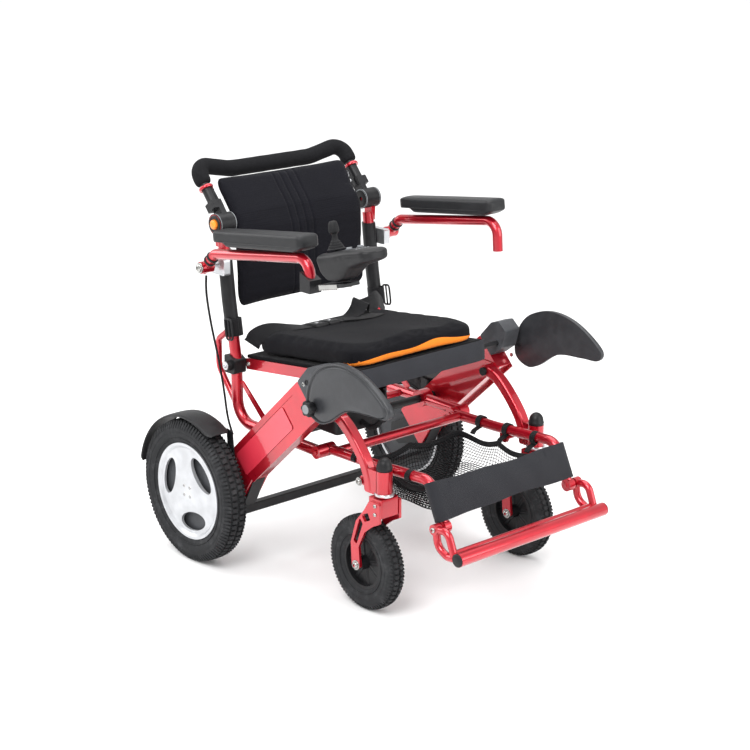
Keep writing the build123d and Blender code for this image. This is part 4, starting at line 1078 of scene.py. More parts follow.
def vertex_array(piece: bpy.types.Object) -> np.ndarray:
    """A mesh's vertices as an array (n, 3)."""
    co = np.zeros(len(piece.data.vertices) * 3, np.float32)
    piece.data.vertices.foreach_get("co", co)
    return co.reshape(-1, 3).astype(float)


def set_vertices(piece: bpy.types.Object, points: np.ndarray) -> None:
    """Write an array back to a mesh's vertices."""
    piece.data.vertices.foreach_set("co", points.astype(np.float32).ravel())
    piece.data.update()


def box_uv(piece: bpy.types.Object, across: np.ndarray, along: np.ndarray) -> None:
    """UVs in metres from each vertex's distances along two cloth directions."""
    data = piece.data
    layer = data.uv_layers.new(name="UVMap") if not data.uv_layers else data.uv_layers[0]
    loops = np.zeros(len(data.loops), np.int32)
    data.loops.foreach_get("vertex_index", loops)
    layer.data.foreach_set("uv", np.stack([across, along], -1)[loops].astype(np.float32).ravel())


@dataclass
class Seat:
    """Cushion with its orange front gusset, the cloth deck under it, front panel and rail sleeves."""

    tilt: float = 6.5
    length: float = 0.358
    half: float = 0.1835
    height: float = 0.036
    crown: float = 0.0045
    front: float = 0.024
    deck_up: float = 0.0225

    def frame_of(self) -> tuple[np.ndarray, np.ndarray, np.ndarray]:
        """Origin at the seat hinge, with unit vectors forward and up in the tilted deck."""
        t = radians(self.tilt)
        return JOINT["seat_fold"] * np.array([1, 0, 1]), np.array([cos(t), 0,
                                                                   sin(t)]), np.array([-sin(t), 0, cos(t)])

    def hem(self, across: np.ndarray) -> np.ndarray:
        """Height of the orange band: even on the right, a swell left of the middle, and thin at both
        corners.
        """
        q = across / self.half
        swell = 0.0100 * np.exp(-((q - 0.30) / 0.26) ** 2) + 0.0030 * np.exp(-((q + 0.42) / 0.30) ** 2)
        return (0.0125 + swell) * (1 - 0.75 * np.abs(q) ** 9)

    def slab(self) -> bpy.types.Object:
        """Rounded box: its half width is a superellipse of the distance along, the corners round and the
        sides lean in.
        """
        u = np.linspace(0, tau, 120, endpoint=False)
        v = np.linspace(-1, 1, 15)
        c, s = np.cos(u), np.sin(u)
        size = (np.abs(c) ** 9 + np.abs(s) ** 9) ** (-1 / 9)
        origin, fore, rise = self.frame_of()
        edge = (1 - np.abs(v) ** 5) ** 0.35
        inset = 0.012 * (1 - edge)
        along = (self.front - self.length / 2 - 0.004) + (self.length / 2 - 0.006
                                                          - inset[:, None]) * (c * size)[None]
        across = (self.half - 0.005 - inset[:, None]) * (s * size)[None]
        up = np.broadcast_to((self.deck_up + self.height / 2 + v * self.height / 2)[:, None], along.shape)
        points = origin + along[..., None] * fore + np.stack([np.zeros_like(across), across,
                                                              np.zeros_like(across)], -1) + up[..., None] * rise
        return grid_piece("seat_pad", points, wrap_v=True, caps=True)

    def shape(self, piece: bpy.types.Object) -> bpy.types.Object:
        """Contour the swelled pad: leg troughs at the front, a shallow bowl, side creases and a flattened
        underside.
        """
        origin, fore, rise = self.frame_of()
        points = vertex_array(piece)
        local = points - origin
        along, across, up = local @ fore, local[:, 1], local @ rise
        q = np.clip(across / self.half, -1, 1)
        top = np.clip((up - self.deck_up - self.height * 0.55) / (self.height * 0.45), 0, 1)
        nearness = np.clip((along + 0.16) / 0.18, 0, 1)
        trough = -0.0045 * nearness * np.exp(-((np.abs(q)
                                                - 0.48) / 0.26) ** 2) + 0.003 * nearness * np.exp(-(q / 0.2) ** 2)
        bowl = -0.004 * np.exp(-((along + 0.20) / 0.10) ** 2 - (q / 0.6) ** 2)
        flat = np.where(up < self.deck_up + 0.0015, self.deck_up + 0.0015 - up, 0.0)
        side = np.clip((np.abs(q) - 0.93) / 0.07, 0, 1)
        crease = side * (0.0016 * np.sin((up - self.deck_up) * 520 + 5 * along / self.length)
                         + 0.0008 * np.sin(along * 90 + up * 300))
        new = origin + along[:, None] * fore + (up + top * (trough + bowl) + flat)[:, None] * rise
        new[:, 1] = across + np.sign(across) * crease
        set_vertices(piece, new)
        box_uv(piece, across + up, along + up)
        return piece

    def band(self, pad: bpy.types.Object) -> bpy.types.Object:
        """Orange gusset laid on the pad's front: each point is where a ray from ahead meets the pad,
        lifted a little.
        """
        origin, fore, rise = self.frame_of()
        tree = BVHTree.FromObject(pad, bpy.context.evaluated_depsgraph_get())
        y = np.linspace(-self.half * 0.965, self.half * 0.965, 150)
        v = np.linspace(0, 1, 12)
        foot = self.deck_up + 0.0008
        lift = 0.0006 + 0.0011 * np.sin(v * pi) ** 0.5
        points = np.zeros((len(y), len(v), 3))
        for i, across in enumerate(y):
            for j, share in enumerate(v):
                level = origin + (foot + self.hem(across) * share) * rise + np.array([0, across, 0])
                hit = tree.ray_cast(Vector(level + 0.10 * fore), Vector(-fore))[0]
                near = tree.find_nearest(Vector(level + self.front * fore))[0]
                points[i, j] = np.array(near if hit is None else hit) + lift[j] * fore
        yy, vv = np.meshgrid(y, v, indexing="ij")
        made = grid_piece("seat_band", points, uv=np.stack([yy, vv * 0.024], -1))
        thick = made.modifiers.new("wall", "SOLIDIFY")
        thick.thickness, thick.offset = 0.0012, 0.0
        return made

    def piping(self, band: np.ndarray) -> bpy.types.Object:
        """A sewn cord along the band's upper and lower edges."""
        made = []
        for j in (0, -1):
            path = band[:, j]
            made.append(swept("cord", path, ring_profile(0.0012, 10), (0, 0, 1),
                              rounded_ends(len(path), 3, 0.4)))
        return merged("seat_piping", made)

    def sling(self) -> bpy.types.Object:
        """Padded cloth deck: a soft slab whose edge is a half round and which dips between the rails."""
        _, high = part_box("seat_sling")
        origin, fore, rise = self.frame_of()
        u = np.linspace(0, 1, 40)
        v = np.linspace(-1, 1, 56)
        along = -0.341 + u * 0.352
        across = v * (high.y - 0.001)
        a, w = np.meshgrid(along, across, indexing="ij")
        sag = -0.010 * (1 - (w / high.y) ** 2) * np.sin(np.clip((a + 0.341) / 0.352, 0, 1) * pi) ** 0.6
        up = 0.0165 + sag
        points = origin + a[..., None] * fore + up[..., None] * rise
        points[..., 1] = w
        uv = np.stack([w, a], -1)
        made = grid_piece("seat_deck", points, uv=uv)
        thick = made.modifiers.new("wall", "SOLIDIFY")
        thick.thickness, thick.offset = 0.0075, 0.0
        soften(made, 0.0025, 3, 60)
        return made

    def front_panel(self) -> bpy.types.Object:
        """Dark nylon panel across the front: a sheet with a slight outward bow and turned hems."""
        _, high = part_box("seat_front_panel")
        origin, fore, rise = self.frame_of()
        y = np.linspace(-high.y + 0.001, high.y - 0.001, 70)
        v = np.linspace(0, 1, 16)
        yy, vv = np.meshgrid(y, v, indexing="ij")
        bow = 0.0018 * np.sin(vv * pi) + 0.0006 * np.sin(yy * 55 + vv * 3)
        along = 0.0185 + bow - 0.006 * np.abs(yy / high.y) ** 12
        up = -0.0245 + vv * 0.044
        points = origin + along[..., None] * fore + up[..., None] * rise
        points[..., 1] = yy
        made = grid_piece("front_panel_cloth", points, uv=np.stack([yy, vv * 0.044], -1))
        thick = made.modifiers.new("wall", "SOLIDIFY")
        thick.thickness, thick.offset = 0.003, -1.0
        soften(made, 0.001, 2, 60)
        return made

    def rail_sleeves(self) -> None:
        """Grey-black moulded sleeves near the front of each rail, with a screw."""
        point = turned(JOINT["seat_fold"][0], JOINT["seat_fold"][2], self.tilt)
        for name, side in SIDES:
            _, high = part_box("seat_frame")
            outer, inner = side * (high.y + 0.0018), side * (high.y - 0.0198)
            outline = [point(-92, -15), point(-36, -15), point(-30, -10), point(-30, 11.5), point(-92, 11.5)]
            sleeve = prism(f"rail_sleeve_{name}", outline, inner, outer, 0.002)
            place(sleeve, Finish.GREY_PLASTIC, "seat", "grey_plastic")
            at = point(-70, -2)
            screws = [bolt((at[0], outer, at[1]), (0, side, 0), 0.0042, 0.0026)]
            end = point(-335, 0)
            screws.append(bolt((end[0], side * high.y, end[1]), (0, side, 0), 0.0045, 0.0030))
            place(merged(f"rail_screws_{name}", screws), Finish.ZINC, "seat", "silver_alloy")

    def build(self) -> None:
        """Make and place the seat."""
        pad = self.shape(Cushion(0.005, 4.0, 0.010).swell(self.slab()))
        pad.name = "seat_pad"
        place(pad, Finish.SEAT_CLOTH, "seat", "black_fabric", "seat_cushion")
        band = self.band(pad)
        grid = vertex_array(band).reshape(150, 12, 3)
        place(band, Finish.ORANGE_CLOTH, "seat", "orange_plastic")
        place(self.piping(grid), Finish.EDGE_CLOTH, "seat", "black_fabric")
        deck = place(self.sling(), Finish.EDGE_CLOTH, "seat", "black_fabric", "seat_sling")
        panel = place(self.front_panel(), Finish.PANEL_CLOTH, "seat", "grey_panel", "seat_front_panel")
        self.rail_sleeves()


@dataclass
class Backrest:
    """One padded back cover that bends over the recline hinge, with sewn channels down its middle."""

    half: float = 0.180
    bottom: float = 0.534
    slope: float = 50.0
    reach: float = 0.106
    pad: float = 0.0145

    def spine(self, count: int = 90) -> tuple[np.ndarray, np.ndarray]:
        """Middle line in the side plane, a straight run, a short bend at the hinge and the leaning upper run.

        Returns:
            Points (n, 3) at y = 0 and forward unit normals.
        """
        hinge = JOINT["back_recline"]
        c, s = cos(radians(self.slope)), sin(radians(self.slope))
        low = np.array([hinge[0] + 0.0125, 0, self.bottom])
        mid = np.array([hinge[0] + 0.004, 0, hinge[2] - 0.004])
        top = np.array([hinge[0] - self.reach * c + 0.006 * s, 0, hinge[2] + self.reach * s + 0.006 * c])
        path = rounded_path([low, mid, top], [0.07], 0.002)
        path = resampled(path, np.linalg.norm(np.diff(path, axis=0), axis=1).sum() / (count - 1))
        tangent = unit(np.gradient(path, axis=0))
        return path, np.stack([tangent[:, 2], np.zeros(len(path)), -tangent[:, 0]], -1)

    def slab(self) -> bpy.types.Object:
        """A closed pad round the spine: front and back faces meet in a rounded edge, corners cut by a
        superellipse.
        """
        path, out = self.spine(60)
        u = np.linspace(-1, 1, len(path))
        v = np.linspace(0, tau, 96, endpoint=False)
        width = self.half * (1 - 0.055 * np.abs(u) ** 14)
        c, s = np.cos(v), np.sin(v)
        size = (np.abs(c) ** 12 + np.abs(s) ** 12) ** (-1 / 12)
        depth = 0.5 * self.pad * (1 - np.abs(u) ** 20) ** 0.5
        depth = np.maximum(depth, 0.0018)
        across = width[:, None] * (c * size)[None]
        ahead = depth[:, None] * (s * size)[None]
        points = path[:, None] + ahead[..., None] * out[:, None]
        points[..., 1] = across
        return grid_piece("back_pad", points, wrap_v=True, caps=True)

    def shape(self, piece: bpy.types.Object) -> bpy.types.Object:
        """Press the sewn channels into the pad: each seam is a narrow trough of Gaussian section, with
        padding between.
        """
        path, out = self.spine(200)
        points = vertex_array(piece)
        flat = points.copy()
        flat[:, 1] = 0
        step = 4000
        nearest = np.concatenate([np.argmin(((flat[i:i + step, None] - path[None]) ** 2).sum(-1), 1)
                                  for i in range(0, len(flat), step)])
        ahead = ((flat - path[nearest]) * out[nearest]).sum(-1)
        length = np.concatenate([[0], np.cumsum(np.linalg.norm(np.diff(path, axis=0), axis=1))])[nearest]
        y = points[:, 1]
        wander = 0.004 * np.sin(length * 16)
        front = np.where(ahead > 0, 1.0, 0.35)
        groove = np.zeros(len(points))
        for at in (-0.030, -0.010, 0.010, 0.030):
            groove -= 0.0030 * np.exp(-((y - at - wander) / 0.0022) ** 2)
        puff = 0.0022 * np.exp(-(((np.abs(y)
                                   - 0.105) / 0.055) ** 2)) * np.sin(np.clip(length / length.max(), 0,
                                                                             1) * pi) ** 0.5
        ripple = 0.0006 * np.sin(length * 70 + 9 * y) * np.exp(-(((np.abs(y) - 0.15) / 0.03) ** 2))
        points += (np.sign(ahead) * front * (groove + puff + ripple))[:, None] * out[nearest]
        set_vertices(piece, points)
        box_uv(piece, y, length)
        return piece

    def edging(self, pad: bpy.types.Object) -> bpy.types.Object:
        """A bound edge sewn round the pad: a thin tube whose path is the pad's nearest point to its flat
        outline.
        """
        path, _ = self.spine(80)
        y = np.linspace(-1, 1, 60)[:, None] * np.array([0, self.half, 0])
        ends = np.array([0, self.half, 0])
        loop = np.concatenate([path - ends, path[-1] + y, path[::-1] + ends, path[0] - y])
        tree = BVHTree.FromObject(pad, bpy.context.evaluated_depsgraph_get())
        loop = np.array([tree.find_nearest(Vector(p))[0] for p in loop])
        for _ in range(3):
            loop = (np.roll(loop, 1, 0) + 2 * loop + np.roll(loop, -1, 0)) / 4
        loop = resampled(np.concatenate([loop, loop[:1]]), 0.006)[:-1]
        return swept("back_edging", loop, ring_profile(0.0021, 10), (1, 0, 0.35), closed=True)

    def build(self) -> None:
        pad = self.shape(Cushion(0.0045, 3.0, 0.006).swell(self.slab()))
        hinge = JOINT["back_recline"]
        start, end = (hinge[0], 0, hinge[2] - 0.045), (hinge[0] - 0.03, 0, hinge[2] + 0.045)
        edge = self.edging(pad)
        for piece, finish in ((pad, Finish.BACK_CLOTH), (edge, Finish.EDGE_CLOTH)):
            piece.data.materials.append(material(finish))
            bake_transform(piece)
            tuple(start)
            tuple(end)
        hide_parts("backrest_lower", "backrest_upper")
        log.info("backrest bends from back to upper_back")


@dataclass
class HandleAndHinges:
    """Push handle foam, its red end rings, recline drums and release rods."""

    grip_radius: float = 0.0178
    tube_y: float = 0.205

    def upper(self, along: float, ahead: float) -> np.ndarray:
        """Point of the reclined side plane in metres from distances in millimetres along and ahead of the
        tube.
        """
        hinge = JOINT["back_recline"]
        c, s = cos(radians(50)), sin(radians(50))
        return np.array([hinge[0] + (-along * c + ahead * s) * MM, hinge[2] + (along * s + ahead * c) * MM])

    def route(self) -> np.ndarray:
        """Middle line of the handle, from the right tube over the horn and across to the left one."""
        horn = self.upper(146, 0)
        start, up = self.upper(96, 0), self.upper(112, 0)
        run = [(start[0], -self.tube_y, start[1]), (horn[0], -self.tube_y, horn[1]),
               (horn[0], -0.112, horn[1] - 0.019), (horn[0], 0.112, horn[1] - 0.019),
               (horn[0], self.tube_y, horn[1]), (start[0], self.tube_y, start[1])]
        return rounded_path(run, [0.027, 0.120, 0.120, 0.027], 0.003)

    def foam(self) -> bpy.types.Object:
        """Foam sleeve with rounded ends and a very slight unevenness along its length."""
        path = self.route()
        t = np.linspace(0, 1, len(path))
        scale = rounded_ends(len(path), 5, 0.66) * (1 + 0.012 * np.sin(t * 61) * np.sin(t * 17))
        return swept("handle_foam", path, ring_profile(self.grip_radius, 40), (1, 0, 0), scale)

    def rings(self) -> bpy.types.Object:
        """Thin red rings on the tube at both ends of the foam."""
        made = []
        a, b = self.upper(84, 0), self.upper(90, 0)
        for side in (-1, 1):
            direction = (b[0] - a[0], 0, b[1] - a[1])
            ring = [(0, 0.0118), (0, 0.0152), (0.0016, 0.0162), (0.0046, 0.0162), (0.0062, 0.0152),
                    (0.0062, 0.0118), (0, 0.0118)]
            made.append(lathe("ring", ring, (a[0], side * self.tube_y, a[1]), direction, 40))
        return merged("handle_rings", made)

    def drums(self) -> None:
        """Recline drums: rim rings, a shell, a revolved face and a domed orange button on each."""
        hinge = JOINT["back_recline"]
        for name, side in SIDES:
            outer = side * 0.226
            rings = []
            for inset, radius in ((0.0015, 0.0216), (0.0400, 0.0216)):
                y = side * (0.226 - inset)
                hoop = [(0, radius - 0.002), (0, radius), (0.0005, radius + 0.0008),
                        (0.0018, radius + 0.0008), (0.0023, radius), (0.0023, radius - 0.002),
                        (0, radius - 0.002)]
                rings.append(lathe("hoop", hoop, (hinge[0], y - side * 0.0023, hinge[2]), (0, side, 0), 48))
            place(merged(f"drum_rings_{name}", rings), Finish.PALE_PLASTIC, "back", "grey_plastic")
            shell = [(0.0, 0.0213), (0.0, 0.0222), (0.0425, 0.0222), (0.0425, 0.0213), (0.0, 0.0213)]
            place(lathe(f"drum_shell_{name}", shell, (hinge[0], side * 0.1836, hinge[2]), (0, side, 0), 56),
                  Finish.BLACK_PLASTIC, "back", "black_plastic")
            face = [(0.0, 0.0112), (0.0, 0.0198), (0.0010, 0.0194), (0.0022, 0.0180), (0.0028, 0.0160),
                    (0.0022, 0.0140), (0.0012, 0.0125), (0.0008, 0.0112), (0.0, 0.0112)]
            place(lathe(f"drum_face_{name}", face, (hinge[0], outer, hinge[2]), (0, side, 0), 48),
                  Finish.BLACK_PLASTIC, "back", "black_plastic")
            dome = [(0.0, 0.0), (0.0, 0.0098), (0.0014, 0.0100), (0.0026, 0.0094), (0.0036, 0.0074),
                    (0.0042, 0.0045), (0.0044, 0.0)]
            low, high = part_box(f"hinge_button_{name}")
            top = high.y if side > 0 else low.y
            place(lathe(f"button_dome_{name}", dome, (hinge[0], top - side * 0.0008, hinge[2]), (0, side, 0),
                        36),
                  Finish.ORANGE, f"release_button_{name}", "orange_plastic")

    def rods(self) -> None:
        """Bent silver release rods behind the upper tubes, running to each drum."""
        for name, side in SIDES:
            y = side * (self.tube_y - 0.004)
            stops = [self.upper(104, -15), self.upper(60, -16.5), self.upper(34, -18), self.upper(20, -24)]
            path = rounded_path([(p[0], y - side * 0.010 * (i > 1), p[1]) for i, p in enumerate(stops)],
                                [0.012, 0.010], 0.003)
            place(swept(f"release_rod_{name}", path, ring_profile(0.0022, 16), (0, 1, 0),
                        rounded_ends(len(path), 3, 0.5)),
                  Finish.SILVER, "upper_back", "silver_alloy")
            clip = self.upper(62, -7)
            strip = self.upper(62, -16.5)
            path = rounded_path([(clip[0], y, clip[1]),
                                 ((clip[0] + strip[0]) / 2, y, (clip[1] + strip[1]) / 2),
                                 (strip[0], y, strip[1])], [0.003], 0.002)
            place(swept(f"rod_clip_{name}", path, rounded_box_profile(0.006, 0.0035, 5, 24), (0, 1, 0)),
                  Finish.BLACK_PLASTIC, "upper_back", "black_plastic")

    def build(self) -> None:
        """Make and place all of it."""
        place(self.foam(), Finish.FOAM, "upper_back", "rubber", "handle_grip")
        place(self.rings(), Finish.RED, "upper_back", "red_paint")
        self.drums()
        self.rods()


@dataclass
class Armrests:
    """Moulded pads, seams, pivot screws and ties of the flip-up armrests."""

    tilt: float = 7.0
    length: float = 0.294
    width: float = 0.054
    depth: float = 0.036

    def pad(self, name: str, side: float) -> bpy.types.Object:
        """Pad as a loft of superellipse sections: rounded nose, chamfered front corners and a stepped
        lower rear.
        """
        origin = np.array([-0.233, side * 0.262, 0.694])
        t = radians(self.tilt)
        fore, rise = np.array([cos(t), 0, sin(t)]), np.array([-sin(t), 0, cos(t)])
        u = np.linspace(0, 1, 64)
        v = np.linspace(0, tau, 48, endpoint=False)
        c, s = np.cos(v), np.sin(v)
        size = (np.abs(c) ** 7 + np.abs(s) ** 7) ** (-1 / 7)
        end = np.clip(np.minimum(u, 1 - u) / 0.045, 0, 1)
        round_end = np.sqrt(1 - (1 - end) ** 2.6)
        half = (self.width / 2 - 0.0008) * (0.72 + 0.28 * round_end) * (1 - 0.05 * (1 - u))
        top = self.depth - 0.0008 - 0.006 * (1 - round_end) - 0.002 * (1 - u) ** 2
        bottom = 0.001 + 0.009 * np.clip((0.16 - u) / 0.05, 0,
                                         1) + 0.010 * np.clip((u - 0.90) / 0.10, 0, 1) ** 1.4
        mid, tall = (top + bottom) / 2, (top - bottom) / 2 * (0.82 + 0.18 * round_end)
        across = half[:, None] * (c * size)[None]
        up = mid[:, None] + tall[:, None] * (s * size)[None]
        crown = 0.0018 * (1 - (across / (self.width / 2)) ** 2) * (up > mid[:, None])
        along = 0.001 + u * (self.length - 0.002)
        points = origin + along[:, None, None] * fore + (up + crown)[..., None] * rise
        points[..., 1] = origin[1] + across
        made = grid_piece(f"arm_pad_{name}", points, wrap_v=True, caps=True)
        box_uv(made, np.tile(np.linspace(0, 0.16, 48), 64), np.repeat(along, 48))
        return made

    def seam(self, name: str, side: float) -> bpy.types.Object:
        """Moulded edge line round the top of the pad."""
        origin = np.array([-0.233, side * 0.262, 0.694])
        t = radians(self.tilt)
        fore, rise = np.array([cos(t), 0, sin(t)]), np.array([-sin(t), 0, cos(t)])
        a = np.linspace(0, tau, 160, endpoint=False)
        c, s = np.cos(a), np.sin(a)
        size = (np.abs(c) ** 9 + np.abs(s) ** 9) ** (-1 / 9)
        along = self.length / 2 + (self.length / 2 - 0.0020) * c * size
        across = (self.width / 2 - 0.0012) * s * size
        path = origin + along[:, None] * fore + (self.depth * 0.34) * rise
        path[:, 1] = origin[1] + across
        return swept(f"arm_pad_seam_{name}", path, ring_profile(0.0011, 8), (0, 0, 1), closed=True)

    def hardware(self, name: str, side: float) -> None:
        """Pivot screw with its washer, and tie wraps."""
        hinge = JOINT[f"armrest_{name}_lift"]
        parts = [bolt((hinge[0], side * 0.2795, hinge[2]), (0, side, 0), 0.0085, 0.0052),
                 washer((hinge[0], side * 0.2765, hinge[2]), (0, side, 0), 0.0115, 0.0030)]
        place(merged(f"armrest_pivot_{name}", parts), Finish.ZINC, "back", "silver_alloy")
        a = np.array([-0.300, side * 0.262, 0.630])
        b = np.array([-0.256, side * 0.262, 0.672])
        direction = unit(b - a)
        ties = []
        for share in (0.52, 0.74):
            at = a + (b - a) * share
            hoop = [(0, 0.0108), (0, 0.0126), (0.0008, 0.0132), (0.0042, 0.0132), (0.005, 0.0126),
                    (0.005, 0.0108), (0, 0.0108)]
            ties.append(lathe("tie", hoop, at, direction, 32))
        place(merged(f"tube_ties_{name}", ties), Finish.BLACK_PLASTIC, f"armrest_{name}", "black_plastic")

    def build(self) -> None:
        """Make both sides."""
        for name, side in SIDES:
            pad = place(self.pad(name, side), Finish.SKIN, f"armrest_{name}", "soft_touch",
                        f"armrest_pad_{name}")
            place(self.seam(name, side), Finish.SKIN, f"armrest_{name}", "soft_touch")
            self.hardware(name, side)


@dataclass
class Controller:
    """Joystick pod: deck flange, scooped body, bellows and knob, indicator panel, and a serrated clamp."""

    tilt: float = 12.0
    y: float = -0.249
    half: float = 0.037

    def at(self, along: float, up: float) -> np.ndarray:
        """Point of the side plane in metres from millimetres along and up the tilted panel."""
        return turned(0.122, 0.738, self.tilt)(along, up)

    def body(self) -> bpy.types.Object:
        """Pod lofted along its length: each section is a superellipse hung between the deck and the belly
        line.
        """
        u = np.linspace(0, 1, 60)
        along = -30 + 155.5 * u
        deck = np.interp(along, [-30, -20, 60, 110, 126], [0.5, 2.5, 7.2, 5.6, 2.5])
        belly = np.interp(along, [-30, -16, 10, 34, 64, 100, 126], [-26, -54, -56, -50, -29, -22, -17])
        kernel = np.hanning(9) / np.hanning(9).sum()
        belly = np.convolve(np.pad(belly, 4, "edge"), kernel, "valid")
        end = np.clip(np.minimum(u / 0.07, (1 - u) / 0.16), 0, 1)
        shape = np.sqrt(1 - (1 - end) ** 2.2)
        half = (self.half - 0.0007) * (0.30 + 0.70 * shape) * (1 - 0.10 * np.clip((along - 30) / 96, 0, 1))
        deck, belly = deck - 4 * (1 - shape), belly + 3 * (1 - shape)
        v = np.linspace(0, tau, 56, endpoint=False)
        c, s = np.cos(v), np.sin(v)
        size = (np.abs(c) ** 4.5 + np.abs(s) ** 4.5) ** (-1 / 4.5)
        mid, tall = (deck + belly) / 2, (deck - belly) / 2
        up = mid[:, None] + tall[:, None] * (s * size)[None]
        narrow = 1 - 0.30 * np.clip((deck[:, None] - 10 - up) / 45, 0, 1)
        across = half[:, None] * (c * size)[None] * narrow
        parting = deck[:, None] - 9 - 5 * np.sin(u * pi)[:, None]
        across = across * (1 - 0.028 * np.exp(-((up - parting) / 0.9) ** 2))
        ct, st = cos(radians(self.tilt)), sin(radians(self.tilt))
        x = 0.122 + (along[:, None] * ct - up * st) * MM
        z = 0.738 + (along[:, None] * st + up * ct) * MM
        made = grid_piece("controller_pod", np.stack([x, self.y + across, z], -1), wrap_v=True, caps=True)
        wells = [self.well(0, 0.0, 0.0208, -0.022), self.well(56, 0.014, 0.0063, 0.0),
                 self.well(56, -0.014, 0.0063, 0.0)]
        return carved(made, wells)

    def well(self, along: float, sideways: float, radius: float, floor: float) -> bpy.types.Object:
        """A closed cylinder square to the deck, to cut a round well down to a floor height."""
        at = self.at(along, 0)
        profile = [(floor, 0.0), (floor, radius), (0.016, radius), (0.016, 0.0)]
        return lathe("well", profile, (at[0], self.y + sideways, at[1]),
                     (-sin(radians(self.tilt)), 0, cos(radians(self.tilt))), 48)

    def deck(self) -> bpy.types.Object:
        """Two key collars on the panel."""
        ct, st = cos(radians(self.tilt)), sin(radians(self.tilt))
        normal = (-st, 0, ct)
        parts = []
        for sideways in (-0.014, 0.014):
            at = self.at(56, 6.6)
            collar = [(0, 0.0060), (0, 0.0086), (0.0010, 0.0082), (0.0016, 0.0076), (0.0016, 0.0064),
                      (0, 0.0060)]
            parts.append(lathe("collar", collar, (at[0], self.y + sideways, at[1]), normal, 32))
        return merged("key_collars", parts)

    def lamps(self) -> bpy.types.Object:
        """Row of small pill-shaped indicator windows ahead of the keys."""
        made = []
        for i in range(5):
            at = self.at(78, 6.4)
            y = self.y + (i - 2) * 0.0074
            spot = [(0, 0.0), (0, 0.0021), (0.0006, 0.0019), (0.0009, 0.0012), (0.0010, 0.0)]
            made.append(lathe("lamp", spot, (at[0], y, at[1]),
                              (-sin(radians(self.tilt)), 0, cos(radians(self.tilt))), 16))
        return merged("indicator_lamps", made)

    def stick(self) -> bpy.types.Object:
        """Three-rib bellows and a mushroom knob, revolved together about the stick."""
        profile = [(-0.004, 0.0), (-0.004, 0.0034), (0.0066, 0.0036), (0.0066, 0.0178), (0.0080, 0.0182),
                   (0.0095, 0.0172), (0.0105, 0.0150),
                   (0.0125, 0.0152), (0.0142, 0.0144), (0.0152, 0.0122), (0.0172, 0.0124), (0.0190, 0.0116),
                   (0.0200, 0.0096), (0.0222, 0.0098),
                   (0.0240, 0.0088), (0.0252, 0.0066), (0.0300, 0.0056), (0.0360, 0.0056), (0.0385, 0.0070),
                   (0.0405, 0.0098), (0.0440, 0.0108),
                   (0.0500, 0.0104), (0.0560, 0.0094), (0.0600, 0.0082), (0.0622, 0.0060), (0.0628, 0.0030),
                   (0.0624, 0.0)]
        ct, st = cos(radians(self.tilt)), sin(radians(self.tilt))
        return lathe("joystick_boot_and_knob", profile, (0.122, self.y, 0.738), (-st, 0, ct), 56)

    def clamp(self) -> bpy.types.Object:
        """Toothed silver adjuster on the rail under the pod."""
        made = []
        for side in (-1, 1):
            outline = [self.at(-46 + 2.8 * i, -70.5 + 3.5 * (i % 2)) for i in range(21)]
            outline += [self.at(10, -59.5), self.at(-46, -59.5)]
            made.append(prism("rack", outline, self.y + side * 0.0165, self.y + side * 0.0205, 0.0003, 1))
        return merged("adjuster_rack", made)

    def build(self) -> None:
        """Make and place the controller."""
        dress("controller_mount", Finish.BLACK_STEEL)
        place(self.body(), Finish.BLACK_PLASTIC, "armrest_right", "black_plastic", "controller_housing")
        place(self.deck(), Finish.GREY_PLASTIC, "armrest_right", "grey_plastic")
        place(self.lamps(), Finish.PALE_PLASTIC, "armrest_right", "grey_plastic")
        place(self.stick(), Finish.RUBBER, "stick", "rubber", "joystick")
        place(self.clamp(), Finish.ZINC, "armrest_right", "silver_alloy")


